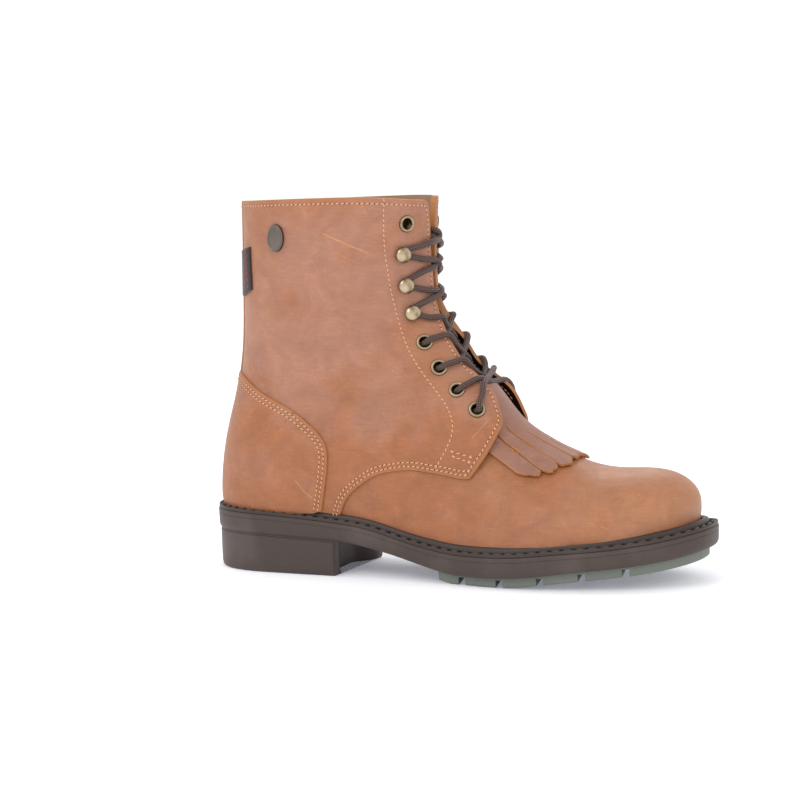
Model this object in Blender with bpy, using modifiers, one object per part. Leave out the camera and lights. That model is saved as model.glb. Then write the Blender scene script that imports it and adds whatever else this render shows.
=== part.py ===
# Lace-up riding ankle boot, right foot, standing empty on its sole.
# Toe towards +X, outer (lateral) side towards -Y, up +Z. Sizes below are millimetres.

import math

import bmesh
import bpy
import numpy as np
from mathutils import Vector

MM = 0.001
GAP = 0.3

# Sole plan: a round heel end, a waist and a round toe end
SOLE_LENGTH = 298.0
HEEL_ROUND = 44.0
TOE_ROUND = 88.0
HEEL_SQUARENESS = 2.25
TOE_SQUARENESS = 2.25
TOE_SWING = 9.0
SWING_FROM_X = -20.0
HEEL_BREAST_X = -61.5
FEATHER_INSET = 6.3
TOE_EXTRA_INSET = 1.6
HEEL_EXTRA_INSET = 1.1
PLAN_COLUMNS = ("x", "lateral", "medial")
PLAN_ROWS = (
    (-105.0, 36.0, 34.0),
    (-75.0, 36.5, 33.0),
    (-45.0, 36.5, 29.5),
    (-12.0, 38.5, 31.0),
    (20.0, 45.0, 41.0),
    (42.0, 49.0, 47.5),
    (61.0, 50.5, 50.0),
)

# Sole seen from the side: underside of the brown unit and its upper edge
PROFILE_COLUMNS = ("x", "under", "top")
PROFILE_ROWS = (
    (-149.0, 20.3, 32.6),
    (-113.0, 19.8, 31.8),
    (-75.0, 18.5, 29.8),
    (-57.0, 17.5, 28.3),
    (-38.0, 14.6, 25.6),
    (-20.0, 10.6, 21.0),
    (0.0, 5.8, 17.0),
    (16.0, 3.3, 15.2),
    (34.0, 3.0, 15.0),
    (55.0, 4.2, 16.0),
    (75.0, 6.8, 18.2),
    (95.0, 9.2, 20.0),
    (115.0, 11.4, 22.4),
    (135.0, 14.6, 25.8),
    (149.0, 17.6, 28.8),
)
FLOOR_DROP = 2.4  # the floor lies this far under the heights above; the boot is lifted at the end
TREAD_BACK_X = 3.0
TREAD_DEPTH = 5.4
TREAD_INSET = 5.0
TREAD_FLAT_TO_X = 30.0
TREAD_BACK_RISE = 2.2
TREAD_GROOVES_X = (17.0, 39.0, 62.0, 85.0, 109.0)
TREAD_GROOVE_WIDTH = 4.0
TREAD_GROOVE_LENGTH = 60.0
TREAD_GROOVE_Y = 31.5
TREAD_GROOVE_ANGLE = math.radians(14.0)
HEEL_GROOVES_X = (-125.0, -105.0, -84.0)
HEEL_GROOVE_DEPTH = 3.0
HEEL_GROOVE_LENGTH = 44.0
WELT_BEAD_HEIGHT = 4.7
FORM_SKIRT = 20.0
INSOLE_THICKNESS = 3.0
INSOLE_CLEARANCE = 1.2
INSOLE_END_CLEARANCE = 5.5

# Layers of the upper, measured out from the last's surface
WALL = 2.0
QUARTER_OUT = 1.6
QUARTER_IN = -0.9
LIFT_FROM = 0.42
LIFT_FULL = 0.08
COUNTER_THICKNESS = 1.5
STRIP_THICKNESS = 1.2
STRIP_HALF_WIDTH = 14.0
STRIP_FIRST_ROW = 16.5
STRIP_ABOVE_COUNTER = 1.0
KILTIE_THICKNESS = 1.6
KILTIE_LIFT = 0.8
TONGUE_DEPTH = 6.2
TONGUE_THICKNESS = 1.8
TONGUE_PAST_EDGE = 14.0

# The last: a fan of cuts from the toe's feather edge round to the collar. Each runs from a low point
# on the feather edge or back seam to a high point on the toe, instep or front line.
LAST_COLUMNS = (
    "low_x", "low_z", "high_x", "high_z", "lateral", "medial",
    "widest", "square_low", "square_high", "half_gap", "lift",
)
LAST_ROWS = (
    (76.0, None, 139.0, None, 43.7, 42.8, 0.02, 2.2, 2.0, 20.0, 0.0),
    (74.0, None, 139.8, 40.6, 44.4, 43.5, 0.04, 2.2, 2.1, 20.0, 0.0),
    (71.0, None, 136.0, 49.8, 45.2, 44.3, 0.07, 2.2, 2.14, 20.0, 0.0),
    (67.0, None, 126.4, 56.4, 45.8, 44.8, 0.10, 2.2, 2.1, 20.0, 0.0),
    (61.0, None, 111.0, 59.0, 46.2, 45.2, 0.14, 2.2, 2.05, 20.0, 0.0),
    (52.0, None, 91.0, 59.2, 45.8, 44.8, 0.18, 2.2, 2.0, 20.0, 0.0),
    (39.0, None, 71.4, 64.2, 44.2, 43.0, 0.20, 2.2, 2.0, 20.0, 0.0),
    (23.0, None, 53.4, 73.4, 41.2, 39.6, 0.22, 2.2, 2.0, 18.0, 3.8),
    (3.0, None, 37.6, 85.2, 37.6, 35.2, 0.24, 2.2, 2.0, 14.5, 5.4),
    (-20.0, None, 26.0, 100.4, 35.2, 32.4, 0.27, 2.2, 2.0, 13.0, 7.6),
    (-48.0, None, 13.4, 116.0, 34.4, 32.2, 0.30, 2.2, 2.0, 9.6, 2.8),
    (-82.0, None, 5.8, 131.2, 34.6, 32.8, 0.32, 2.3, 2.0, 9.8, 1.0),
    (-112.0, None, -3.2, 143.5, 35.0, 33.4, 0.34, 2.4, 2.0, 5.6, 0.0),
    (-132.5, None, -9.0, 154.0, 35.4, 34.0, 0.37, 2.5, 2.0, 2.1, 0.0),
    (-141.6, None, -10.5, 162.0, 35.8, 34.6, 0.40, 2.5, 2.0, 1.5, 0.0),
    (-142.2, 50.0, -10.8, 170.0, 36.2, 35.2, 0.43, 2.4, 2.0, 1.7, 0.0),
    (-138.8, 72.0, -11.0, 178.0, 36.4, 35.6, 0.46, 2.3, 2.0, 2.2, 0.0),
    (-132.2, 96.0, -11.0, 186.0, 37.0, 36.4, 0.48, 2.2, 2.0, 2.7, 0.0),
    (-126.6, 124.0, -10.7, 193.6, 38.2, 37.8, 0.49, 2.2, 2.0, 3.2, 0.0),
    (-124.6, 152.0, -10.6, 200.0, 39.6, 39.4, 0.50, 2.2, 2.0, 3.9, 0.0),
    (-123.8, 182.0, -10.4, 206.4, 41.0, 41.0, 0.50, 2.2, 2.0, 4.8, 0.0),
    (-123.2, 211.0, -10.1, 211.6, 42.0, 42.0, 0.50, 2.2, 2.0, 5.6, 0.0),
)
HEEL_END_ROW = 14
THROAT_ROW = 8.6
COLLAR_ROW = 21
TOE_STEPS = 12
INSTEP_STEPS = 9
SHAFT_STEPS = 8
SIDE_STEPS = 8
RIDGE_STEPS = 2
COUNTER_ROWS = (9.6, 19.0)
COUNTER_COLUMNS = 8

# Edges of the overlays seen from the side, as (x, z)
QUARTER_EDGE = (
    (-56.8, 33.4), (-52.0, 42.4), (-42.4, 50.8), (-33.8, 56.0), (-22.7, 58.9), (-11.9, 60.0),
    (-0.6, 58.9), (10.4, 57.3), (20.8, 56.0), (25.6, 56.6), (29.6, 63.4), (33.7, 71.3), (36.3, 80.0),
    (37.4, 87.0), (37.0, 93.0), (33.5, 99.0), (30.0, 112.0),
)
COUNTER_EDGE = (
    (-150.0, 114.5), (-133.0, 113.4), (-122.4, 111.6), (-115.5, 108.6), (-102.6, 102.0), (-92.3, 97.2),
    (-82.3, 91.9), (-73.8, 85.2), (-65.8, 77.6), (-62.2, 69.0), (-62.3, 62.6), (-63.9, 52.3), (-68.2, 34.6),
)

# Limits that the cutters reach past the boot
ABOVE_Z = 240.0
BELOW_Z = -20.0
BEHIND_X = -160.0

# Lacing: fastenings up each facing, as (height, distance from its edge across the boot)
LACE_DIAMETER = 3.3
EYELETS = ((93.5, 6.8), (103.9, 8.8), (116.0, 9.0), (129.8, 9.9), (195.7, 15.2))
HOOKS = ((145.5, 13.6), (161.4, 16.0), (178.8, 17.2))
EYELET_RADIUS = 4.6
EYELET_BORE = 2.3
EYELET_TUBE = 2.8
EYELET_HOLE = 3.4
HOLE_CUTTER_DEPTH = 18.0
HOOK_RADIUS = 4.5
ROUND_STEPS = 8

# Kiltie: fringed false tongue over the vamp, under the quarter tabs
KILTIE_TOP_ROW = 9.4
KILTIE_SLIT_ROW = 7.7
KILTIE_STRIPS = 8
KILTIE_SLIT = 1.0
KILTIE_COLUMNS = ("row", "half_width")
KILTIE_ROWS = ((5.4, 33.0), (6.4, 33.0), (7.4, 30.5), (7.9, 26.0), (8.4, 18.0), (9.0, 11.0), (9.6, 9.0))
KILTIE_TIP_ROWS = (6.42, 6.05, 5.9, 5.92, 5.92, 5.9, 6.05, 6.42)

# Badge and back tab, both plain
BADGE_ROW = 20.0
BADGE_SHARE = 0.395
BADGE_SIZE = (11.0, 15.5, 1.8)
TAB_LOW = 156.0
TAB_HIGH = 182.0
TAB_FROM_SEAM = 21.0
TAB_WIDTH = 9.0
TAB_THICKNESS = 1.2


def smooth_curve(knots, values):
    """Natural cubic spline through the values."""
    x = np.asarray(knots, float)
    y = np.asarray(values, float)
    h = np.diff(x)
    rows = len(x)
    matrix = np.eye(rows)
    right = np.zeros(rows)
    for i in range(1, rows - 1):
        matrix[i, i - 1 : i + 2] = h[i - 1], 2 * (h[i - 1] + h[i]), h[i]
        right[i] = 6 * ((y[i + 1] - y[i]) / h[i] - (y[i] - y[i - 1]) / h[i - 1])
    bend = np.linalg.solve(matrix, right)

    def value(at):
        at = np.clip(np.asarray(at, float), x[0], x[-1])
        i = np.clip(np.searchsorted(x, at) - 1, 0, rows - 2)
        left, after = at - x[i], x[i + 1] - at
        cubic = (bend[i] * after**3 + bend[i + 1] * left**3) / (6 * h[i])
        first = (y[i] / h[i] - bend[i] * h[i] / 6) * after
        second = (y[i + 1] / h[i] - bend[i + 1] * h[i] / 6) * left
        return cubic + first + second

    return value


def table_curves(columns, rows):
    """A smooth curve for each column of a table, over its first column."""
    cells = np.array(rows, float)
    return {name: smooth_curve(cells[:, 0], cells[:, i]) for i, name in enumerate(columns)}


def ease(value, low, high):
    part = np.clip((np.asarray(value, float) - low) / (high - low), 0, 1)
    return part * part * (3 - 2 * part)


PLAN = table_curves(PLAN_COLUMNS, PLAN_ROWS)
PROFILE = table_curves(PROFILE_COLUMNS, PROFILE_ROWS)
HEEL_CENTRE_X = PLAN_ROWS[0][0]
BALL_X = PLAN_ROWS[-1][0]
HEEL_SHARE = 0.22
TOE_SHARE = 0.68


def toe_swing(x):
    """How far the foot's middle line has turned inwards at a place along it."""
    return TOE_SWING * ease(x, SWING_FROM_X, SOLE_LENGTH / 2)


def sole_edge(place, side, inset=0.0):
    """Plan point of the sole's edge, from the heel (0) to the toe tip (1), moved in by the inset."""

    def raw(at):
        at = np.asarray(at, float)
        column = "lateral" if side < 0 else "medial"
        heel = np.clip(at / HEEL_SHARE, 0, 1) * np.pi / 2
        toe = np.clip((at - TOE_SHARE) / (1 - TOE_SHARE), 0, 1) * np.pi / 2
        middle = np.clip((at - HEEL_SHARE) / (TOE_SHARE - HEEL_SHARE), 0, 1)
        x = HEEL_CENTRE_X + middle * (BALL_X - HEEL_CENTRE_X)
        half = PLAN[column](x) * np.sin(heel) ** (2 / HEEL_SQUARENESS)
        half = half * np.maximum(np.cos(toe), 0) ** (2 / TOE_SQUARENESS)
        x = x - HEEL_ROUND * np.maximum(np.cos(heel), 0) ** (2 / HEEL_SQUARENESS)
        x = x + TOE_ROUND * np.sin(toe) ** (2 / TOE_SQUARENESS)
        return x, side * half + toe_swing(x)

    place = np.asarray(place, float)
    x, y = raw(place)
    x1, y1 = raw(np.clip(place - 1e-4, 0, 1))
    x2, y2 = raw(np.clip(place + 1e-4, 0, 1))
    run = np.hypot(x2 - x1, y2 - y1)
    out_x = np.where(place <= 0, -1.0, np.where(place >= 1, 1.0, -side * (y2 - y1) / run))
    out_y = np.where((place <= 0) | (place >= 1), 0.0, side * (x2 - x1) / run)
    return x - inset * out_x, y - inset * out_y


def feather_inset(x):
    """Distance of the upper's lower edge from the sole's edge."""
    x = np.asarray(x, float)
    toe = TOE_EXTRA_INSET * ease(x, 40.0, 140.0)
    heel = HEEL_EXTRA_INSET * ease(-x, 100.0, 146.0)
    return FEATHER_INSET + toe + heel


def feather_height(x):
    return PROFILE["top"](x) + GAP


def feather_line(side):
    """Plan of the upper's lower edge on one side, from the heel to the toe."""
    place = np.linspace(0, 1, 600)
    return sole_edge(place, side, feather_inset(sole_edge(place, side)[0]))


FEATHER = {side: feather_line(side) for side in (-1, 1)}


def feather_half_width(x, side):
    """Distance of the upper's lower edge from the line y = 0, at a place along the foot."""
    return side * np.interp(x, *FEATHER[side])


LAST_SPOTS = np.arange(len(LAST_ROWS))


def last_column(name):
    """Smooth curve of one column over the row number, with the feather edge filled in."""
    i = LAST_COLUMNS.index(name)
    cells = [row[i] for row in LAST_ROWS]
    source = {"low_z": 0, "high_z": 2}
    if name in source:
        x_cells = [row[source[name]] for row in LAST_ROWS]
        cells = [float(feather_height(x)) if z is None else z for x, z in zip(x_cells, cells)]
    return smooth_curve(LAST_SPOTS, cells)


LAST = {name: last_column(name) for name in LAST_COLUMNS}


def low_width(row, side):
    """Half width at the low end of a cut, zero on the back seam."""
    row = np.asarray(row, float)
    x = LAST["low_x"](row)
    half = feather_half_width(x, side) - side * toe_swing(x)
    return np.where(row >= HEEL_END_ROW, 0.0, np.maximum(half, 0))


def last_angles(row, side):
    """Angle that a cut starts at, and the half width it reaches."""
    reach = LAST["lateral" if side < 0 else "medial"](row)
    low = np.minimum(low_width(row, side) / reach, 0.9995)
    return np.arccos(low ** (LAST["square_low"](row) / 2)), reach


def facing_share(row, side, extra=0.0):
    """Share of the way round a cut at which the throat's edge lies, with an extra distance from it."""
    start, reach = last_angles(row, side)
    part = np.clip((LAST["half_gap"](row) + extra) / reach, 0, 1)
    angle = np.arccos(part ** (LAST["square_high"](row) / 2))
    return (angle + start) / (start + np.pi / 2)


def last_point(row, share, side):
    """Point of the last: row along the fan of cuts, share from the low end (0) to the high end (1)."""
    row, share = np.broadcast_arrays(np.asarray(row, float), np.asarray(share, float))
    start, reach = last_angles(row, side)
    angle = share * (start + np.pi / 2) - start
    widest = LAST["widest"](row)
    low_power = 2 / LAST["square_low"](row)
    high_power = 2 / LAST["square_high"](row)
    below = widest / np.maximum(np.sin(start), 0.03) ** low_power
    wave = np.abs(np.sin(angle))
    low_part = widest - below * wave**low_power
    high_part = widest + (1 - widest) * wave**high_power
    along = np.where(angle < 0, low_part, high_part)
    power = np.where(angle < 0, low_power, high_power)
    half = reach * np.maximum(np.cos(angle), 0) ** power
    low_x, high_x = LAST["low_x"](row), LAST["high_x"](row)
    low_z = np.maximum(LAST["low_z"](row), feather_height(low_x))
    high_z = LAST["high_z"](row)
    x = low_x + along * (high_x - low_x)
    z = low_z + along * (high_z - low_z)
    return np.stack([x, side * half + toe_swing(x), z], -1)


def last_normal(row, share, side):
    """Unit normal of the last, pointing out."""
    row, share = np.broadcast_arrays(np.asarray(row, float), np.asarray(share, float))
    step = 0.01
    inner = np.clip(share, step, 1 - step)
    top_row = len(LAST_ROWS) - 1
    mid_row = np.clip(row, step, top_row - step)
    across = last_point(mid_row, inner + step, side) - last_point(mid_row, inner - step, side)
    along = last_point(mid_row + step, inner, side) - last_point(mid_row - step, inner, side)
    normal = side * np.cross(along, across)
    seam = (share >= 1) | ((share <= 0) & (row >= HEEL_END_ROW))
    normal[..., 1] = np.where(seam, 0.0, normal[..., 1])
    return normal / np.linalg.norm(normal, axis=-1, keepdims=True)


def skin(row, share, side, out=0.0):
    """Point at a distance out from the last."""
    out = np.broadcast_to(np.asarray(out, float), np.broadcast(row, share).shape)
    return last_point(row, share, side) + last_normal(row, share, side) * out[..., None]


PARTS = None
CUTTERS = None


def start_scene():
    """Empty scene with a collection for the boot and one for its cutters."""
    global PARTS, CUTTERS
    for item in list(bpy.data.objects):
        bpy.data.objects.remove(item, do_unlink=True)
    PARTS = bpy.data.collections.new("riding_ankle_boot")
    CUTTERS = bpy.data.collections.new("cutters")
    bpy.context.scene.collection.children.link(PARTS)
    bpy.context.scene.collection.children.link(CUTTERS)


def finish_material(name, colour, roughness, metallic=0.0):
    material = bpy.data.materials.new(name)
    material.use_nodes = True
    shader = material.node_tree.nodes["Principled BSDF"]
    shader.inputs["Base Color"].default_value = (*colour, 1.0)
    shader.inputs["Roughness"].default_value = roughness
    shader.inputs["Metallic"].default_value = metallic
    return material


def add_part(name, mesh, material):
    part = bpy.data.objects.new(name, mesh)
    part.data.materials.clear()
    part.data.materials.append(material)
    part.data.shade_smooth()
    part.data.set_sharp_from_angle(angle=math.radians(40))
    PARTS.objects.link(part)
    return part


def add_cutter(name, mesh):
    cutter = bpy.data.objects.new(name, mesh)
    cutter.hide_render = True
    cutter.display_type = "WIRE"
    CUTTERS.objects.link(cutter)
    return cutter


def mesh_of(name, points, faces, closed=True):
    """Mesh in metres from points in millimetres, with a closed one's faces pointing out."""
    mesh = bpy.data.meshes.new(name)
    mesh.from_pydata((np.asarray(points) * MM).tolist(), [], faces)
    if closed:
        shape = bmesh.new()
        shape.from_mesh(mesh)
        bmesh.ops.recalc_face_normals(shape, faces=shape.faces)
        shape.to_mesh(mesh)
        shape.free()
    return mesh


def boolean(target, tool, operation):
    modifier = target.modifiers.new(operation.lower(), "BOOLEAN")
    modifier.operation = operation
    modifier.object = tool
    modifier.solver = "EXACT"


def close_shell(outer, inner, faces):
    """Points and faces of a solid between two like surfaces, with a rim round every open edge."""
    count = len(outer)
    edges = {}
    for face in faces:
        for a, b in zip(face, face[1:] + face[:1]):
            edges[(a, b)] = True
    rims = [(b, a, a + count, b + count) for a, b in edges if (b, a) not in edges]
    back = [tuple(v + count for v in reversed(face)) for face in faces]
    return np.concatenate([outer, inner]), [tuple(f) for f in faces] + back + rims


def last_grid(rows, shares_of, keep=None, sides=(-1, 1)):
    """Grid over the last: a list of (row, share, side) corners, and faces that point out."""
    places, faces, index = [], [], {}
    columns = len(shares_of(rows[0], -1))

    def corner(i, j, side):
        share = float(shares_of(rows[i], side)[j])
        key = (i, j, side)
        if share >= 1.0:
            key = (i, "ridge")
        elif share <= 0.0 and rows[i] >= HEEL_END_ROW:
            key = (i, "seam")
        if key not in index:
            index[key] = len(places)
            places.append((rows[i], share, side))
        return index[key]

    for side in sides:
        for i in range(len(rows) - 1):
            for j in range(columns - 1):
                if keep and not keep(rows[i], j):
                    continue
                ends = ((i, j), (i, j + 1), (i + 1, j + 1), (i + 1, j))
                face = [corner(*end, side) for end in ends]
                for corners in (face[:3], [face[0], face[2], face[3]]):
                    if len(set(corners)) == 3:
                        faces.append(corners if side < 0 else corners[::-1])
    return places, faces


def skin_points(places, out_of):
    """Points of a grid at the distance out that out_of gives for each corner."""
    places = np.array(places)
    points = np.empty((len(places), 3))
    for side in (-1, 1):
        chosen = places[:, 2] == side
        row, share = places[chosen, 0], places[chosen, 1]
        points[chosen] = skin(row, share, side, out_of(row, share, side))
    return points


def side_prism(name, outline, far=120.0):
    """Cutter with an outline in the side view, right across the boot."""
    count = len(outline)
    points = [(x, -far, z) for x, z in outline] + [(x, far, z) for x, z in outline]
    faces = [tuple(range(count)), tuple(range(2 * count - 1, count - 1, -1))]
    faces += [(i, i + count, (i + 1) % count + count, (i + 1) % count) for i in range(count)]
    return add_cutter(name, mesh_of(name, points, faces))


def plan_slab(places, levels, tip_heel, tip_toe):
    """Solid inside the sole's plan: levels are (inset, height) functions of x, from the bottom up."""
    points, faces, index = [], [], {}
    tips = {0: tip_heel, len(places) - 1: tip_toe}

    def corner(i, level, side):
        key = (i, level, 0 if tips.get(i) else side)
        if key not in index:
            inset_of, height_of = levels[level]
            x, _ = sole_edge(places[i], side)
            x, y = sole_edge(places[i], side, inset_of(x))
            index[key] = len(points)
            points.append((float(x), float(y), float(height_of(x))))
        return index[key]

    def add(*face):
        face = [v for k, v in enumerate(face) if v != face[k - 1]]
        if len(face) > 2:
            faces.append(face)

    top = len(levels) - 1
    for i in range(len(places) - 1):
        for level in range(top):
            wall = ((i, level), (i + 1, level), (i + 1, level + 1), (i, level + 1))
            add(*[corner(*end, -1) for end in wall])
            add(*[corner(*end, 1) for end in reversed(wall)])
        add(corner(i, top, -1), corner(i + 1, top, -1), corner(i + 1, top, 1), corner(i, top, 1))
        add(corner(i, 0, 1), corner(i + 1, 0, 1), corner(i + 1, 0, -1), corner(i, 0, -1))
    for i, flip in ((0, False), (len(places) - 1, True)):
        if tips[i]:
            continue
        for level in range(top):
            wall = ((level, 1), (level, -1), (level + 1, -1), (level + 1, 1))
            face = [corner(i, *end) for end in wall]
            add(*(face[::-1] if flip else face))
    return points, faces


def place_at_x(x, side=-1):
    """Place along the sole's edge that has a given x."""
    place = np.linspace(0, 1, 2000)
    return float(np.interp(x, sole_edge(place, side)[0], place))


def even_places(first, last, count):
    """Places along the sole's edge, spaced evenly by their distance along it."""
    place = np.linspace(first, last, 2000)
    x, y = sole_edge(place, -1)
    run = np.concatenate([[0], np.cumsum(np.hypot(np.diff(x), np.diff(y)))])
    return np.interp(np.linspace(0, run[-1], count), run, place)


def make_outsole(rubber):
    """Brown unit sole: bevelled foot, plain wall, a moulded groove and an upper lip."""
    under, top = PROFILE["under"], PROFILE["top"]
    levels = (
        (lambda x: 2.2, under),
        (lambda x: 0.5, lambda x: under(x) + 1.6),
        (lambda x: 0.0, lambda x: top(x) - 4.2),
        (lambda x: 0.8, lambda x: top(x) - 3.7),
        (lambda x: 0.0, lambda x: top(x) - 3.2),
        (lambda x: 0.0, lambda x: top(x) - 0.7),
        (lambda x: 0.8, top),
    )
    points, faces = plan_slab(even_places(0, 1, 29), levels, True, True)
    return add_part("outsole", mesh_of("outsole", points, faces), rubber)


def box_cutter(name, size, centre, turn=0.0):
    shape = bmesh.new()
    bmesh.ops.create_cube(shape, size=1.0)
    bmesh.ops.scale(shape, vec=Vector(size) * MM, verts=shape.verts)
    mesh = bpy.data.meshes.new(name)
    shape.to_mesh(mesh)
    shape.free()
    cutter = add_cutter(name, mesh)
    cutter.location = Vector(centre) * MM
    cutter.rotation_euler.z = turn
    return cutter


def make_heel(rubber):
    """Heel block with a straight breast and grooves across its top piece."""
    under = PROFILE["under"]
    levels = (
        (lambda x: 3.0, lambda x: 0.0 * x - FLOOR_DROP),
        (lambda x: 1.8, lambda x: 0.0 * x - FLOOR_DROP + 1.2),
        (lambda x: 1.2, lambda x: 0.0 * x + 6.0),
        (lambda x: 1.0, lambda x: under(x) - 2.0),
        (lambda x: 2.0, lambda x: under(x) - GAP),
    )
    points, faces = plan_slab(even_places(0, place_at_x(HEEL_BREAST_X), 17), levels, True, False)
    heel = add_part("heel", mesh_of("heel", points, faces), rubber)
    for i, x in enumerate(HEEL_GROOVES_X):
        size = (TREAD_GROOVE_WIDTH, HEEL_GROOVE_LENGTH, 2 * HEEL_GROOVE_DEPTH)
        boolean(heel, box_cutter(f"heel_groove_{i + 1}", size, (x, 0.0, -FLOOR_DROP)), "DIFFERENCE")
    return heel


def tread_bottom(x):
    """Height of the tread's underside: flat under the ball, following the toe spring, rounded at its back."""
    x = np.asarray(x, float)
    spring = np.maximum(PROFILE["under"](x) - TREAD_DEPTH + FLOOR_DROP, 0.0)
    spring = spring * ease(x, TREAD_FLAT_TO_X, TREAD_FLAT_TO_X + 28.0) - FLOOR_DROP
    return spring + TREAD_BACK_RISE * ease(-x, -TREAD_BACK_X - 6.0, -TREAD_BACK_X + 1.0)


def make_tread(rubber):
    """Grey-green forefoot tread: a base with lugs parted by slanted grooves."""
    under = PROFILE["under"]
    levels = (
        (lambda x: TREAD_INSET + 1.0, tread_bottom),
        (lambda x: TREAD_INSET, lambda x: tread_bottom(x) + 1.0),
        (lambda x: TREAD_INSET, lambda x: under(x) - GAP),
    )
    points, faces = plan_slab(even_places(place_at_x(TREAD_BACK_X), 1, 23), levels, False, True)
    tread = add_part("tread", mesh_of("tread", points, faces), rubber)
    for i, x in enumerate(TREAD_GROOVES_X):
        for side in (-1, 1):
            depth = float(tread_bottom(x)) + TREAD_DEPTH - 1.0
            size = (TREAD_GROOVE_WIDTH, TREAD_GROOVE_LENGTH, 2 * (TREAD_DEPTH - 1.2))
            centre = (x, side * TREAD_GROOVE_Y + float(toe_swing(x)), depth - size[2] / 2)
            name = f"tread_groove_{i + 1}_{'lateral' if side < 0 else 'medial'}"
            boolean(tread, box_cutter(name, size, centre, -side * TREAD_GROOVE_ANGLE), "DIFFERENCE")
    return tread


def welt_ring(profile_of):
    """Closed ring round the foot. profile_of gives (inset, height) points, the inside edge first."""
    half = even_places(0, 1, 22)
    stations = [(p, -1) for p in half] + [(p, 1) for p in half[-2:0:-1]]
    points, faces = [], []
    count = 0
    for place, side in stations:
        x, _ = sole_edge(place, side)
        profile = profile_of(float(x))
        count = len(profile)
        for inset, height in profile:
            px, py = sole_edge(place, side, inset)
            points.append((float(px), float(py), height))
    total = len(stations)
    for i in range(total):
        for j in range(count):
            a, b = i * count + j, i * count + (j + 1) % count
            c, d = (i + 1) % total * count + (j + 1) % count, (i + 1) % total * count + j
            faces.append((a, b, c, d))
    return points, faces


def last_form(name, out):
    """Closed form of the whole last at a distance from it, reaching down into the sole."""
    places, faces = last_grid(WALL_ROWS, wall_shares)
    mesh = mesh_of(name, skin_points(places, lambda row, share, side: out), faces, closed=False)
    shape = bmesh.new()
    shape.from_mesh(mesh)
    collar = LAST_ROWS[-1][1] * MM / 2
    low = [edge for edge in shape.edges if edge.is_boundary and edge.verts[0].co.z < collar]
    skirt = bmesh.ops.extrude_edge_only(shape, edges=low)["geom"]
    moved = [item for item in skirt if isinstance(item, bmesh.types.BMVert)]
    bmesh.ops.translate(shape, vec=(0.0, 0.0, -FORM_SKIRT * MM), verts=moved)
    bmesh.ops.holes_fill(shape, edges=shape.edges, sides=0)
    bmesh.ops.recalc_face_normals(shape, faces=shape.faces)
    shape.to_mesh(mesh)
    shape.free()
    return add_cutter(name, mesh)


def make_welt(leather):
    """Storm welt: a flange on the sole's lip, a sunk stitching groove and a raised bead at the upper."""

    def profile(x):
        base = float(PROFILE["top"](x))
        inner = float(feather_inset(x))
        return (
            (inner + 1.0, base + GAP),
            (inner + 1.0, base + WELT_BEAD_HEIGHT - 0.3),
            (inner - 1.6, base + WELT_BEAD_HEIGHT),
            (inner - 2.9, base + WELT_BEAD_HEIGHT - 1.2),
            (inner - 3.6, base + 1.0),
            (0.9, base + 1.7),
            (0.9, base + GAP),
        )

    points, faces = welt_ring(profile)
    welt = add_part("welt", mesh_of("welt", points, faces), leather)
    boolean(welt, last_form("welt_seat", GAP), "DIFFERENCE")
    return welt


def insole_inset(x):
    """Distance of the insole's edge from the sole's, larger at the round ends."""
    ends = ease(x, 60.0, 120.0) + ease(-x, 100.0, 130.0)
    return feather_inset(x) + WALL + INSOLE_CLEARANCE + INSOLE_END_CLEARANCE * ends


def make_insole(board):
    """Insole on the sole's floor, inside the upper."""
    top = PROFILE["top"]
    levels = (
        (insole_inset, lambda x: top(x) + GAP),
        (insole_inset, lambda x: top(x) + GAP + INSOLE_THICKNESS),
    )
    points, faces = plan_slab(even_places(0, 1, 27), levels, True, True)
    return add_part("insole", mesh_of("insole", points, faces), board)


def steps(*stops):
    """Row numbers from (end, count) stops, starting at the first number given."""
    rows = [float(stops[0])]
    for end, count in stops[1:]:
        rows += list(np.linspace(rows[-1], end, count + 1)[1:])
    return rows


def share_from_ridge(row, side, distance):
    """Share of a cut at a distance from its ridge line, measured across the boot."""
    return facing_share(row, side, distance - LAST["half_gap"](row))


def share_from_seam(row, side, distance):
    """Share of a closed cut at a distance from the back seam, measured across the boot."""
    start, reach = last_angles(row, side)
    angle = -np.arccos(np.clip(distance / reach, 0, 1) ** (LAST["square_low"](row) / 2))
    return (angle + start) / (start + np.pi / 2)


def quarter_out(row, share, side, base=QUARTER_OUT):
    """Distance of the quarter's face from the last: its lower tabs stand away from the vamp."""
    edge = facing_share(row, side)
    return base + LAST["lift"](row) * ease(share, edge - LIFT_FROM, edge - LIFT_FULL)


def layer_solid(name, rows, shares_of, inner_of, outer_of, sides=(-1, 1)):
    """Solid between two distances from the last."""
    places, faces = last_grid(rows, shares_of, sides=sides)
    points, faces = close_shell(skin_points(places, outer_of), skin_points(places, inner_of), faces)
    return mesh_of(name, points, faces)


def welt_line(first_x, last_x, count=6):
    """Side view of the welt's bead, a gap above it."""
    places = np.linspace(first_x, last_x, count)
    return [(x, float(PROFILE["top"](x)) + WELT_BEAD_HEIGHT + GAP) for x in places]


WALL_ROWS = steps(0, (THROAT_ROW, TOE_STEPS), (HEEL_END_ROW, INSTEP_STEPS), (COLLAR_ROW, SHAFT_STEPS))
QUARTER_GRID_ROWS = steps(7.2, (HEEL_END_ROW, INSTEP_STEPS + 2), (COLLAR_ROW, SHAFT_STEPS - 1))


def quarter_shares(row, side):
    """Columns of the quarter, from the feather edge or back seam to just past the throat's edge."""
    return np.linspace(0, float(facing_share(row, side, -0.7)), SIDE_STEPS + 1)


def wall_shares(row, side):
    """Columns of the upper's wall, from the feather edge or back seam to the ridge."""
    edge = float(facing_share(row, side))
    side_part = np.linspace(0, edge, SIDE_STEPS + 1)
    return np.concatenate([side_part, np.linspace(edge, 1, RIDGE_STEPS + 1)[1:]])


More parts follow.
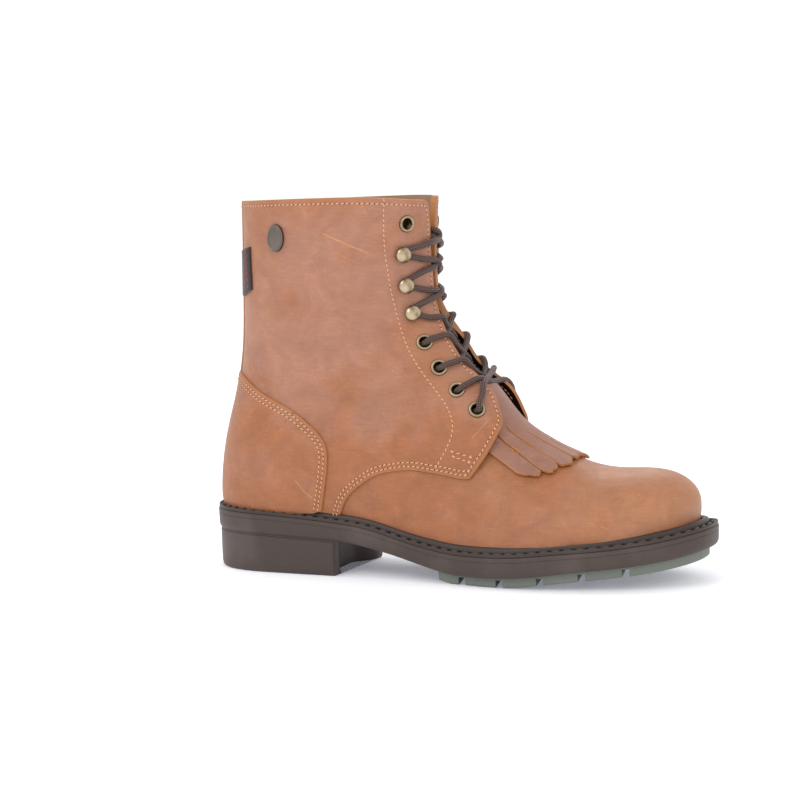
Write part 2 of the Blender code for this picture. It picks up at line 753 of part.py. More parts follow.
def make_upper(leather):
    """Hollow upper: vamp, quarters and shaft in one wall, the quarters a step above the vamp."""
    below_throat = THROAT_ROW - 1e-6

    def keep(row, column):
        return column < SIDE_STEPS or row < below_throat

    places, faces = last_grid(WALL_ROWS, wall_shares, keep)
    points = skin_points(places, lambda row, share, side: 0.0)
    upper = add_part("upper", mesh_of("upper", points, faces, closed=False), leather)
    wall = upper.modifiers.new("wall", "SOLIDIFY")
    wall.thickness = WALL * MM
    wall.offset = -1.0

    band = layer_solid(
        "quarter_band", QUARTER_GRID_ROWS, quarter_shares,
        lambda row, share, side: quarter_out(row, share, side, QUARTER_IN), quarter_out,
    )
    quarter = add_cutter("quarter_band", band)
    outline = list(QUARTER_EDGE) + [(QUARTER_EDGE[-1][0], ABOVE_Z), (BEHIND_X, ABOVE_Z)]
    outline += welt_line(BEHIND_X, QUARTER_EDGE[0][0] - 1.0)
    boolean(quarter, side_prism("quarter_outline", outline), "INTERSECT")
    boolean(upper, quarter, "UNION")
    floor = [(x, float(feather_height(x))) for x in np.linspace(BEHIND_X, -BEHIND_X, 17)]
    floor += [(-BEHIND_X, BELOW_Z), (BEHIND_X, BELOW_Z)]
    boolean(upper, side_prism("sole_floor", floor), "DIFFERENCE")
    return upper


def make_counter(leather):
    """Heel counter, a curved overlay round the back of the quarters."""
    rows = [row for row in QUARTER_GRID_ROWS if COUNTER_ROWS[0] < row < COUNTER_ROWS[1]]
    face = QUARTER_OUT + GAP
    mesh = layer_solid(
        "heel_counter", rows, lambda row, side: quarter_shares(row, side)[:COUNTER_COLUMNS],
        lambda row, share, side: face, lambda row, share, side: face + COUNTER_THICKNESS,
    )
    counter = add_part("heel_counter", mesh, leather)
    outline = list(COUNTER_EDGE) + welt_line(COUNTER_EDGE[-1][0], BEHIND_X)
    boolean(counter, side_prism("counter_outline", outline), "INTERSECT")
    return counter


def seam_row(height):
    """Row number at which the back seam has a height."""
    rows = np.linspace(HEEL_END_ROW, COLLAR_ROW, 400)
    return float(np.interp(height, LAST["low_z"](rows), rows))


def make_back_strip(leather):
    """Strip over the back seam, from the counter to the collar."""
    face = QUARTER_OUT + GAP
    rows = [row for row in QUARTER_GRID_ROWS if row > STRIP_FIRST_ROW]
    across = [STRIP_HALF_WIDTH * part / 3 for part in range(4)]

    def shares(row, side):
        return [float(share_from_seam(row, side, width)) for width in across]

    mesh = layer_solid(
        "back_strip", rows, shares,
        lambda row, share, side: face, lambda row, share, side: face + STRIP_THICKNESS,
    )
    strip = add_part("back_strip", mesh, leather)
    low = [(x, z + STRIP_ABOVE_COUNTER) for x, z in COUNTER_EDGE[:6]]
    outline = low + [(low[-1][0], ABOVE_Z), (low[0][0], ABOVE_Z)]
    boolean(strip, side_prism("strip_outline", outline), "INTERSECT")
    return strip


def make_tongue(leather):
    """Tongue behind the throat, from the vamp to just under the collar."""
    rows = steps(8.2, (HEEL_END_ROW, 7), (COLLAR_ROW - 0.3, 4))
    mesh = layer_solid(
        "tongue", rows,
        lambda row, side: np.linspace(float(facing_share(row, side, TONGUE_PAST_EDGE)), 1, 4),
        lambda row, share, side: -TONGUE_DEPTH - TONGUE_THICKNESS,
        lambda row, share, side: -TONGUE_DEPTH,
    )
    return add_part("tongue", mesh, leather)


def make_kiltie(leather):
    """Fringed false tongue: one sheet slit into strips with rounded ends."""
    half_width = table_curves(KILTIE_COLUMNS, KILTIE_ROWS)["half_width"]
    fringe_steps, sheet_steps = 3, 4
    places, index, faces = [], {}, []

    def corner(strip, edge, level):
        key = (strip, edge, level)
        if key not in index:
            tip = KILTIE_TIP_ROWS[strip] + 0.12 * abs(edge - 1)
            if level <= fringe_steps:
                row = tip + (KILTIE_SLIT_ROW - tip) * level / fringe_steps
            else:
                part = (level - fringe_steps) / sheet_steps
                row = KILTIE_SLIT_ROW + (KILTIE_TOP_ROW - KILTIE_SLIT_ROW) * part
            width = float(half_width(row))
            middle = (strip + 0.5) / KILTIE_STRIPS * 2 - 1
            across = middle * width + (edge - 1) * (width / KILTIE_STRIPS - KILTIE_SLIT / 2)
            side = -1 if across < 0 else 1
            index[key] = len(places)
            places.append((row, float(share_from_ridge(row, side, abs(across))), side))
        return index[key]

    def add(left, right, level):
        low = [corner(*left, level), corner(*right, level)]
        faces.append(low + [corner(*right, level + 1), corner(*left, level + 1)])

    for strip in range(KILTIE_STRIPS):
        for level in range(fringe_steps + sheet_steps):
            for edge in (0, 1):
                add((strip, edge), (strip, edge + 1), level)
            if level >= fringe_steps and strip + 1 < KILTIE_STRIPS:
                add((strip, 2), (strip + 1, 0), level)
    outer = skin_points(places, lambda row, share, side: KILTIE_LIFT + KILTIE_THICKNESS)
    inner = skin_points(places, lambda row, share, side: KILTIE_LIFT)
    points, faces = close_shell(outer, inner, faces)
    return add_part("kiltie", mesh_of("kiltie", points, faces), leather)


def facing_row(height, side, from_edge):
    """Row at which the facing has a height, at a distance from its edge."""
    low, high = 7.6, float(COLLAR_ROW)
    for _ in range(40):
        row = (low + high) / 2
        share = float(facing_share(row, side, from_edge))
        if skin(row, share, side, float(quarter_out(row, share, side)))[2] < height:
            low = row
        else:
            high = row
    return row


def facing_point(row, share, side, above=0.0):
    return skin(row, share, side, float(quarter_out(row, share, side)) + above)


def facing_frame(height, side, from_edge):
    """Point and outward normal on the facing's own face."""
    row = facing_row(height, side, from_edge)
    share = float(facing_share(row, side, from_edge))
    across = facing_point(row, share + 0.02, side) - facing_point(row, share - 0.02, side)
    along = facing_point(row + 0.1, share, side) - facing_point(row - 0.1, share, side)
    normal = side * np.cross(along, across)
    return facing_point(row, share, side), normal / np.linalg.norm(normal)


def place_on(part, point, normal):
    part.location = Vector(point) * MM
    part.rotation_mode = "QUATERNION"
    part.rotation_quaternion = Vector(normal).to_track_quat("Z", "Y")


def turned_part(name, profile, closed, material):
    """Part turned about its own Z axis from a profile of (radius, height), down its outer side."""
    points = [(radius * MM, 0.0, height * MM) for radius, height in profile]
    edges = [(i, i + 1) for i in range(len(points) - 1)] + ([(len(points) - 1, 0)] if closed else [])
    mesh = bpy.data.meshes.new(name)
    mesh.from_pydata(points, edges, [])
    part = add_part(name, mesh, material)
    screw = part.modifiers.new("turn", "SCREW")
    screw.steps = ROUND_STEPS
    screw.render_steps = ROUND_STEPS
    screw.use_merge_vertices = True
    screw.merge_threshold = 1e-5
    screw.use_smooth_shade = True
    return part


EYELET_PROFILE = (
    (EYELET_RADIUS - 1.0, 1.3), (EYELET_RADIUS, GAP), (EYELET_TUBE, GAP),
    (EYELET_TUBE, -3.0), (EYELET_BORE, -3.0), (EYELET_BORE, 0.7),
)
HOOK_PROFILE = (
    (0.0, 8.0), (3.1, 7.2), (HOOK_RADIUS, 5.5), (1.9, 3.8), (1.9, 1.3), (HOOK_RADIUS - 0.3, 1.0),
    (HOOK_RADIUS - 0.3, GAP), (0.0, GAP),
)


def side_name(side):
    return "lateral" if side < 0 else "medial"


def make_fastenings(brass, upper):
    """Five eyelets and three ball hooks up each facing, with the eyelets' holes cut in the upper."""
    holes = bmesh.new()
    for side in (-1, 1):
        for number, (height, from_edge) in enumerate(EYELETS, 1):
            point, normal = facing_frame(height, side, from_edge)
            eyelet = turned_part(f"eyelet_{side_name(side)}_{number}", EYELET_PROFILE, True, brass)
            place_on(eyelet, point, normal)
            bpy.context.view_layer.update()
            radius = EYELET_HOLE * MM
            bmesh.ops.create_cone(
                holes, cap_ends=True, segments=ROUND_STEPS, radius1=radius, radius2=radius,
                depth=HOLE_CUTTER_DEPTH * MM, matrix=eyelet.matrix_world,
            )
        for number, (height, from_edge) in enumerate(HOOKS, 1):
            point, normal = facing_frame(height, side, from_edge)
            hook = turned_part(f"hook_{side_name(side)}_{number}", HOOK_PROFILE, False, brass)
            place_on(hook, point, normal)
    mesh = bpy.data.meshes.new("eyelet_holes")
    holes.to_mesh(mesh)
    holes.free()
    boolean(upper, add_cutter("eyelet_holes", mesh), "DIFFERENCE")


def smooth_path(points, count):
    """Points of a smooth curve through a route's own points."""
    points = np.array(points)
    run = np.concatenate([[0], np.cumsum(np.linalg.norm(np.diff(points, axis=0), axis=1))])
    at = np.linspace(0, run[-1], count)
    return np.stack([smooth_curve(run, points[:, k])(at) for k in range(3)], -1)


def tube_mesh(name, path, diameter):
    """Closed tube along a path, as a mesh."""
    curve = bpy.data.curves.new(name, "CURVE")
    curve.dimensions = "3D"
    curve.bevel_depth = diameter / 2 * MM
    curve.bevel_resolution = 1
    curve.use_fill_caps = True
    spline = curve.splines.new("POLY")
    spline.points.add(len(path) - 1)
    for point, place in zip(spline.points, path):
        point.co = (*(place * MM), 1.0)
    guide = bpy.data.objects.new(name + "_guide", curve)
    bpy.context.scene.collection.objects.link(guide)
    bpy.context.view_layer.update()
    mesh = bpy.data.meshes.new_from_object(guide.evaluated_get(bpy.context.evaluated_depsgraph_get()))
    bpy.data.objects.remove(guide, do_unlink=True)
    shape = bmesh.new()
    shape.from_mesh(mesh)
    bmesh.ops.remove_doubles(shape, verts=shape.verts, dist=1e-5)
    bmesh.ops.recalc_face_normals(shape, faces=shape.faces)
    shape.to_mesh(mesh)
    shape.free()
    return mesh


LACE_ABOVE = LACE_DIAMETER / 2 + GAP
LACE_OVER_EDGE = LACE_ABOVE + 0.5
LACE_CLEAR = 6.4
LACE_SHIFT = 2.3
CROSS_RISE = 1.2
TUCK_OVER_EDGE = (183.5, LACE_ABOVE + 1.0)
TUCK_CROSS = (188.0, 2.2)
TUCK_END = (194.0, -3.4)


def lace_point(height, side, from_edge, above):
    row = facing_row(height, side, from_edge)
    share = float(facing_share(row, side, from_edge))
    return facing_point(row, share, side, above)


def strand(low, high, side):
    """Route of one strand from a fastening on one side up to the next on the other side."""
    low_height, low_end = low[0] + LACE_SHIFT, max(low[1] - LACE_CLEAR, LACE_DIAMETER)
    high_height, high_end = high[0] - LACE_SHIFT, max(high[1] - LACE_CLEAR, LACE_DIAMETER)
    gap = float(LAST["half_gap"](facing_row((low[0] + high[0]) / 2, side, 0.0)))
    across = low_end + 2 * gap + high_end

    def at(distance):
        return low_height + (high_height - low_height) * distance / across

    far_edge = low_end + 2 * gap
    start = [
        lace_point(low_height, side, low_end, LACE_ABOVE),
        lace_point(at(low_end / 2), side, low_end / 2, LACE_ABOVE),
        lace_point(at(low_end), side, 0.0, LACE_OVER_EDGE),
    ]
    end = [
        lace_point(at(far_edge), -side, 0.0, LACE_OVER_EDGE),
        lace_point(at(far_edge + high_end / 2), -side, high_end / 2, LACE_ABOVE),
        lace_point(high_height, -side, high_end, LACE_ABOVE),
    ]
    middle = (start[-1] + end[0]) / 2
    out = last_normal(facing_row((low[0] + high[0]) / 2, side, 0.0), 1.0, side)
    middle = np.array([middle[0], float(toe_swing(middle[0])), middle[2]]) + out * CROSS_RISE
    return smooth_path(start + [middle] + end, 7)


def tucked_strand(low, side):
    """Last strand on a side: over the facing's edge, across the throat, and in between the facings."""
    low_height, low_end = low[0] + LACE_SHIFT, low[1] - LACE_CLEAR
    edge_height, edge_above = TUCK_OVER_EDGE
    start = [
        lace_point(low_height, side, low_end, LACE_ABOVE),
        lace_point((low_height + edge_height) / 2, side, low_end / 2, LACE_ABOVE),
        lace_point(edge_height, side, 0.0, edge_above),
    ]
    inside = [skin(facing_row(height, side, 0.0), 1.0, side, out) for height, out in (TUCK_CROSS, TUCK_END)]
    return smooth_path(start + inside, 6)


def make_lace(cord):
    """Crossings of the lace over the throat, each two strands joined where they cross."""
    spots = sorted(EYELETS[:4] + HOOKS)
    routes = [(strand(low, high, -1), strand(low, high, 1)) for low, high in zip(spots, spots[1:])]
    routes.append((tucked_strand(spots[-1], -1), tucked_strand(spots[-1], 1)))
    for number, (first, second) in enumerate(routes, 1):
        name = f"lace_cross_{number}"
        crossing = add_part(name, tube_mesh(name, first, LACE_DIAMETER), cord)
        other = add_cutter(name + "_second", tube_mesh(name + "_second", second, LACE_DIAMETER))
        boolean(crossing, other, "UNION")


def make_badge(pewter):
    """Plain oval stud on the outer side of the shaft."""
    wide, tall, thick = BADGE_SIZE
    shape = bmesh.new()
    bmesh.ops.create_cone(shape, cap_ends=True, segments=16, radius1=0.5, radius2=0.4, depth=1.0)
    bmesh.ops.scale(shape, vec=Vector((wide, tall, thick)) * MM, verts=shape.verts)
    mesh = bpy.data.meshes.new("side_badge")
    shape.to_mesh(mesh)
    shape.free()
    badge = add_part("side_badge", mesh, pewter)
    normal = last_normal(BADGE_ROW, BADGE_SHARE, -1)
    place_on(badge, skin(BADGE_ROW, BADGE_SHARE, -1, QUARTER_OUT + GAP + thick / 2), normal)


def make_back_tab(webbing):
    """Plain folded tab sewn beside the back strip, on the outer side."""
    face = QUARTER_OUT + GAP
    rows = steps(seam_row(TAB_LOW), (seam_row(TAB_HIGH), 3))
    across = np.linspace(TAB_FROM_SEAM, TAB_FROM_SEAM + TAB_WIDTH, 3)

    def shares(row, side):
        return [float(share_from_seam(row, side, width)) for width in across]

    mesh = layer_solid(
        "back_tab", rows, shares,
        lambda row, share, side: face, lambda row, share, side: face + TAB_THICKNESS, sides=(-1,),
    )
    add_part("back_tab", mesh, webbing)


def centre_boot(outsole):
    """Centres every piece sideways over the sole, the widest one, and lifts the boot onto the floor."""
    sides = [point.co.y for point in outsole.data.vertices]
    middle = (min(sides) + max(sides)) / 2
    for item in [*PARTS.objects, *CUTTERS.objects]:
        item.location.y -= middle
        item.location.z += FLOOR_DROP * MM


def main():
    start_scene()
    leather = finish_material("oiled_tan_leather", (0.42, 0.19, 0.09), 0.62)
    rubber = finish_material("brown_rubber", (0.085, 0.062, 0.055), 0.7)
    grey_rubber = finish_material("grey_green_rubber", (0.16, 0.18, 0.16), 0.75)
    dark_welt = finish_material("dark_welt", (0.07, 0.05, 0.045), 0.65)
    board = finish_material("insole_board", (0.35, 0.24, 0.15), 0.8)
    brass = finish_material("antique_brass", (0.40, 0.31, 0.17), 0.35, 1.0)
    cord = finish_material("waxed_cotton_lace", (0.105, 0.065, 0.055), 0.7)
    pewter = finish_material("pewter", (0.20, 0.18, 0.17), 0.4, 1.0)
    webbing = finish_material("woven_tab", (0.05, 0.04, 0.04), 0.85)
    make_outsole(rubber)
    make_heel(rubber)
    make_tread(grey_rubber)
    make_welt(dark_welt)
    make_insole(board)
    upper = make_upper(leather)
    make_counter(leather)
    make_back_strip(leather)
    make_tongue(leather)
    make_kiltie(leather)
    make_fastenings(brass, upper)
    make_lace(cord)
    make_badge(pewter)
    make_back_tab(webbing)
    centre_boot(bpy.data.objects["outsole"])


main()
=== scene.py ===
import math

import bmesh
import bpy
import numpy as np
from mathutils import Matrix, Vector


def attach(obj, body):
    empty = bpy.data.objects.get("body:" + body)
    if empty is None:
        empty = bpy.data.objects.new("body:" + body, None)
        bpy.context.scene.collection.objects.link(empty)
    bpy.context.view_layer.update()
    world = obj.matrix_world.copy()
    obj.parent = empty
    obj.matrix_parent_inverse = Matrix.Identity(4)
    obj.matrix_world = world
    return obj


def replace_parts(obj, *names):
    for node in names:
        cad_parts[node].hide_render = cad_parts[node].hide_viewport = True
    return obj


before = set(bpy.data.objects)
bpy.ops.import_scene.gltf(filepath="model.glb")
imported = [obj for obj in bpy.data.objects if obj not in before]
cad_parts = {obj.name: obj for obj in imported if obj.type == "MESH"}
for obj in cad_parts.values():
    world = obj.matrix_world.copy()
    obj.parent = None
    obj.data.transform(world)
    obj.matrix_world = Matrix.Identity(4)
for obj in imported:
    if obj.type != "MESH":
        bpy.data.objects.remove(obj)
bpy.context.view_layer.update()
mm = 0.001  # every size below is in millimetres
scene = bpy.context.scene


# camera, floor and light

cameraView = {"place": (453.7, -1048.3, 214.5), "azimuth": 25.0, "pitch": 5.8, "roll": -1.7, "lens": 91.08}
studio = {"background": "#FFFFFF", "backgroundStrength": 1.0, "floorColour": "#FBFBFB",
          "glowColour": "#E9E9FA", "floorGlow": 0.22, "exposure": 0.06, "aim": (0.0, 0.0, 90.0)}
softboxes = (
    # name, place, size, watts
    ("keyBox", (-420.0, -1250.0, 1150.0), 700.0, 5.0),
    ("fillBox", (1150.0, -700.0, 700.0), 700.0, 1.5),
    ("backBox", (-300.0, 1150.0, 1100.0), 700.0, 3.0),
)


def linearColour(code):
    parts = [int(code[i:i + 2], 16) / 255 for i in (1, 3, 5)]
    return (*[c / 12.92 if c <= 0.04045 else ((c + 0.055) / 1.055) ** 2.4 for c in parts], 1.0)


def findSocket(sockets, name):
    return next((s for s in sockets if s.identifier == name), None) or sockets[name]


def feed(tree, node, inputs):  # gives each input a value, a socket or a node's first output
    for name, value in dict(inputs).items():
        if isinstance(value, bpy.types.Node):
            value = next(s for s in value.outputs if s.enabled)
        if isinstance(value, bpy.types.NodeSocket):
            tree.links.new(value, findSocket(node.inputs, name))
        else:
            findSocket(node.inputs, name).default_value = value


def addNode(tree, kind, settings=(), inputs=()):
    node = tree.nodes.new(kind)
    for name, value in dict(settings).items():
        setattr(node, name, value)
    feed(tree, node, inputs)
    return node


def newFinish(name, sockets):
    material = bpy.data.materials.new(name)
    material.use_nodes = True
    shader = material.node_tree.nodes["Principled BSDF"]
    values = {key: linearColour(value) if isinstance(value, str) else value for key, value in sockets.items()}
    feed(material.node_tree, shader, values)
    return material, material.node_tree, shader


def perMm(size):  # texture scale for a feature of that size in millimetres
    return 1 / (size * mm)


def makeCamera(view):
    turn, pitch, roll = (math.radians(view[name]) for name in ("azimuth", "pitch", "roll"))
    ahead = Vector((-math.sin(turn), math.cos(turn), 0.0))
    right = Vector((math.cos(turn), math.sin(turn), 0.0))
    ahead = ahead * math.cos(pitch) - Vector((0.0, 0.0, math.sin(pitch)))
    up = right.cross(ahead)
    right, up = right * math.cos(roll) + up * math.sin(roll), up * math.cos(roll) - right * math.sin(roll)
    camera = bpy.data.objects.new("photoCamera", bpy.data.cameras.new("photoCamera"))
    camera.data.lens = view["lens"]
    camera.data.sensor_width = 36.0
    place = Vector(view["place"]) * mm
    camera.matrix_world = Matrix.Translation(place) @ Matrix((right, up, -ahead)).transposed().to_4x4()
    scene.collection.objects.link(camera)
    scene.camera = camera


def makeStudio(settings):
    world = bpy.data.worlds.new("whiteStudio")
    scene.world = world
    world.use_nodes = True
    sky = world.node_tree.nodes["Background"]
    sky.inputs["Color"].default_value = linearColour(settings["background"])
    sky.inputs["Strength"].default_value = settings["backgroundStrength"]
    for name, place, size, watts in softboxes:
        light = bpy.data.objects.new(name, bpy.data.lights.new(name, "AREA"))
        light.data.shape = "DISK"
        light.data.size = size * mm
        light.data.energy = watts
        light.location = Vector(place) * mm
        ahead = Vector(settings["aim"]) * mm - light.location
        light.rotation_euler = ahead.to_track_quat("-Z", "Y").to_euler()
        scene.collection.objects.link(light)
    scene.view_settings.view_transform = "Standard"
    scene.view_settings.exposure = settings["exposure"]
    floor = bpy.data.meshes.new("studioFloor")
    floor.from_pydata([(-6, -6, 0), (6, -6, 0), (6, 6, 0), (-6, 6, 0)], [], [(0, 1, 2, 3)])
    floorObject = bpy.data.objects.new("studioFloor", floor)
    scene.collection.objects.link(floorObject)
    # matt white paper that glows a little, so that the contact shadow stays soft
    paper, _, _ = newFinish("studioPaper", {
        "Base Color": settings["floorColour"], "Roughness": 0.9, "Specular IOR Level": 0.2,
        "Emission Color": settings["glowColour"], "Emission Strength": settings["floorGlow"]})
    floor.materials.append(paper)


makeCamera(cameraView)
makeStudio(studio)
print("camera and studio ready")


# the last: the same fan of cuts as the boot's solids

soleSizes = {
    "length": 298.0, "heelRound": 44.0, "toeRound": 88.0, "squareness": 2.25, "toeSwing": 9.0,
    "swingFrom": -20.0, "feather": 6.3, "toeFeather": 1.6, "heelFeather": 1.1,
    "heelShare": 0.22, "toeShare": 0.68, "gap": 0.3,
}
planRows = (  # x, half width on the outer side, on the inner side
    (-105, 36, 34), (-75, 36.5, 33), (-45, 36.5, 29.5), (-12, 38.5, 31), (20, 45, 41), (42, 49, 47.5),
    (61, 50.5, 50),
)
profileRows = (  # x, underside, upper edge
    (-149, 20.3, 32.6), (-113, 19.8, 31.8), (-75, 18.5, 29.8), (-57, 17.5, 28.3), (-38, 14.6, 25.6),
    (-20, 10.6, 21), (0, 5.8, 17), (16, 3.3, 15.2), (34, 3, 15), (55, 4.2, 16), (75, 6.8, 18.2),
    (95, 9.2, 20), (115, 11.4, 22.4), (135, 14.6, 25.8), (149, 17.6, 28.8),
)
lastNames = ("lowX", "lowZ", "highX", "highZ", "lateral", "medial", "widest", "squareLow", "squareHigh",
             "halfGap", "lift")
lastRows = (
    (76, None, 139, None, 43.7, 42.8, 0.02, 2.2, 2, 20, 0),
    (74, None, 139.8, 40.6, 44.4, 43.5, 0.04, 2.2, 2.1, 20, 0),
    (71, None, 136, 49.8, 45.2, 44.3, 0.07, 2.2, 2.14, 20, 0),
    (67, None, 126.4, 56.4, 45.8, 44.8, 0.1, 2.2, 2.1, 20, 0),
    (61, None, 111, 59, 46.2, 45.2, 0.14, 2.2, 2.05, 20, 0),
    (52, None, 91, 59.2, 45.8, 44.8, 0.18, 2.2, 2, 20, 0),
    (39, None, 71.4, 64.2, 44.2, 43, 0.2, 2.2, 2, 20, 0),
    (23, None, 53.4, 73.4, 41.2, 39.6, 0.22, 2.2, 2, 18, 3.8),
    (3, None, 37.6, 85.2, 37.6, 35.2, 0.24, 2.2, 2, 14.5, 5.4),
    (-20, None, 26, 100.4, 35.2, 32.4, 0.27, 2.2, 2, 13, 7.6),
    (-48, None, 13.4, 116, 34.4, 32.2, 0.3, 2.2, 2, 9.6, 2.8),
    (-82, None, 5.8, 131.2, 34.6, 32.8, 0.32, 2.3, 2, 9.8, 1),
    (-112, None, -3.2, 143.5, 35, 33.4, 0.34, 2.4, 2, 5.6, 0),
    (-132.5, None, -9, 154, 35.4, 34, 0.37, 2.5, 2, 2.1, 0),
    (-141.6, None, -10.5, 162, 35.8, 34.6, 0.4, 2.5, 2, 1.5, 0),
    (-142.2, 50, -10.8, 170, 36.2, 35.2, 0.43, 2.4, 2, 1.7, 0),
    (-138.8, 72, -11, 178, 36.4, 35.6, 0.46, 2.3, 2, 2.2, 0),
    (-132.2, 96, -11, 186, 37, 36.4, 0.48, 2.2, 2, 2.7, 0),
    (-126.6, 124, -10.7, 193.6, 38.2, 37.8, 0.49, 2.2, 2, 3.2, 0),
    (-124.6, 152, -10.6, 200, 39.6, 39.4, 0.5, 2.2, 2, 3.9, 0),
    (-123.8, 182, -10.4, 206.4, 41, 41, 0.5, 2.2, 2, 4.8, 0),
    (-123.2, 211, -10.1, 211.6, 42, 42, 0.5, 2.2, 2, 5.6, 0),
)
heelEndRow, collarRow = 14, 21  # first row behind the heel, and the rim
floorDrop = 2.4  # the floor lies this far under the heights in these lists
layers = {"wall": 2.0, "quarter": 1.6, "liftFrom": 0.42, "liftFull": 0.08, "counter": 1.5, "strip": 1.2}
clearance = 0.05  # between one layer and the next


def smoothCurve(knots, values):
    x, y = np.asarray(knots, float), np.asarray(values, float)
    h = np.diff(x)
    matrix, right = np.eye(len(x)), np.zeros(len(x))
    for i in range(1, len(x) - 1):
        matrix[i, i - 1:i + 2] = h[i - 1], 2 * (h[i - 1] + h[i]), h[i]
        right[i] = 6 * ((y[i + 1] - y[i]) / h[i] - (y[i] - y[i - 1]) / h[i - 1])
    bend = np.linalg.solve(matrix, right)

    def value(at):
        at = np.clip(np.asarray(at, float), x[0], x[-1])
        i = np.clip(np.searchsorted(x, at) - 1, 0, len(x) - 2)
        left, after = at - x[i], x[i + 1] - at
        cubic = (bend[i] * after**3 + bend[i + 1] * left**3) / (6 * h[i])
        first = (y[i] / h[i] - bend[i] * h[i] / 6) * after
        return cubic + first + (y[i + 1] / h[i] - bend[i + 1] * h[i] / 6) * left

    return value


def ease(value, low, high):
    part = np.clip((np.asarray(value, float) - low) / (high - low), 0, 1)
    return part * part * (3 - 2 * part)


planX, planLateral, planMedial = np.array(planRows, float).T
halfPlan = {-1: smoothCurve(planX, planLateral), 1: smoothCurve(planX, planMedial)}
profileX, profileUnder, profileTop = np.array(profileRows, float).T
soleUnder, soleTop = smoothCurve(profileX, profileUnder), smoothCurve(profileX, profileTop)


def toeSwing(x):
    return soleSizes["toeSwing"] * ease(x, soleSizes["swingFrom"], soleSizes["length"] / 2)


def rawEdge(place, side):
    power, heelEnd, toeStart = 2 / soleSizes["squareness"], soleSizes["heelShare"], soleSizes["toeShare"]
    heel = np.clip(place / heelEnd, 0, 1) * np.pi / 2
    toe = np.clip((place - toeStart) / (1 - toeStart), 0, 1) * np.pi / 2
    middle = np.clip((place - heelEnd) / (toeStart - heelEnd), 0, 1)
    x = planX[0] + middle * (planX[-1] - planX[0])
    half = halfPlan[side](x) * np.sin(heel) ** power * np.maximum(np.cos(toe), 0) ** power
    x = x - soleSizes["heelRound"] * np.maximum(np.cos(heel), 0) ** power
    x = x + soleSizes["toeRound"] * np.sin(toe) ** power
    return x, side * half + toeSwing(x)


def soleEdge(place, side, inset=0.0):
    place = np.asarray(place, float)
    x, y = rawEdge(place, side)
    x1, y1 = rawEdge(np.clip(place - 1e-4, 0, 1), side)
    x2, y2 = rawEdge(np.clip(place + 1e-4, 0, 1), side)
    run = np.hypot(x2 - x1, y2 - y1)
    outX = np.where(place <= 0, -1.0, np.where(place >= 1, 1.0, -side * (y2 - y1) / run))
    outY = np.where((place <= 0) | (place >= 1), 0.0, side * (x2 - x1) / run)
    return x - inset * outX, y - inset * outY


def featherInset(x):
    x = np.asarray(x, float)
    toe = soleSizes["toeFeather"] * ease(x, 40, 140)
    return soleSizes["feather"] + toe + soleSizes["heelFeather"] * ease(-x, 100, 146)


edgePlaces = np.linspace(0, 1, 600)
featherLine = {s: soleEdge(edgePlaces, s, featherInset(soleEdge(edgePlaces, s)[0])) for s in (-1, 1)}
soleSides = np.concatenate([soleEdge(edgePlaces, s)[1] for s in (-1, 1)])
yMiddle = (soleSides.min() + soleSides.max()) / 2  # the boot is centred over its sole


def lastColumn(name):
    i = lastNames.index(name)
    cells = [row[i] for row in lastRows]
    if name in ("lowZ", "highZ"):
        xCells = [row[i - 1] for row in lastRows]
        cells = [float(soleTop(x)) + soleSizes["gap"] if z is None else z for x, z in zip(xCells, cells)]
    return smoothCurve(np.arange(len(lastRows)), cells)


last = {name: lastColumn(name) for name in lastNames}


def cutAngles(row, side):
    reach = np.where(side < 0, last["lateral"](row), last["medial"](row))
    x = last["lowX"](row)
    half = np.where(side < 0, -np.interp(x, *featherLine[-1]), np.interp(x, *featherLine[1]))
    low = np.where(row >= heelEndRow, 0.0, np.maximum(half - side * toeSwing(x), 0))
    return np.arccos(np.minimum(low / reach, 0.9995) ** (last["squareLow"](row) / 2)), reach


def facingShare(row, side, extra=0.0):
    start, reach = cutAngles(row, side)
    part = np.clip((last["halfGap"](row) + extra) / reach, 0, 1)
    return (np.arccos(part ** (last["squareHigh"](row) / 2)) + start) / (start + np.pi / 2)


def ridgeShare(row, side, distance):  # share at a distance from the front line, across the boot
    return facingShare(row, side, distance - last["halfGap"](row))


def seamShare(row, side, distance):  # share at a distance from the back seam, across the boot
    start, reach = cutAngles(row, side)
    angle = -np.arccos(np.clip(distance / reach, 0, 1) ** (last["squareLow"](row) / 2))
    return (angle + start) / (start + np.pi / 2)


def floatArrays(*values):
    return np.broadcast_arrays(*[np.asarray(value, float) for value in values])


def lastPoint(row, share, side):
    row, share, side = floatArrays(row, share, side)
    over, under = share > 1, (share < 0) & (row >= heelEndRow)  # past the front line or the back seam
    side = np.where(over | under, -side, side)
    share = np.where(over, 2 - share, np.where(under, -share, np.maximum(share, 0)))
    start, reach = cutAngles(row, side)
    angle = share * (start + np.pi / 2) - start
    widest = last["widest"](row)
    powerLow, powerHigh = 2 / last["squareLow"](row), 2 / last["squareHigh"](row)
    below = widest / np.maximum(np.sin(start), 0.03) ** powerLow
    wave = np.abs(np.sin(angle))
    along = np.where(angle < 0, widest - below * wave**powerLow, widest + (1 - widest) * wave**powerHigh)
    half = reach * np.maximum(np.cos(angle), 0) ** np.where(angle < 0, powerLow, powerHigh)
    lowX, highX, highZ = last["lowX"](row), last["highX"](row), last["highZ"](row)
    lowZ = np.maximum(last["lowZ"](row), soleTop(lowX) + soleSizes["gap"])
    x = lowX + along * (highX - lowX)
    return np.stack([x, side * half + toeSwing(x) - yMiddle, lowZ + along * (highZ - lowZ)], -1)


def unit(vectors):
    return vectors / np.maximum(np.linalg.norm(vectors, axis=-1, keepdims=True), 1e-9)


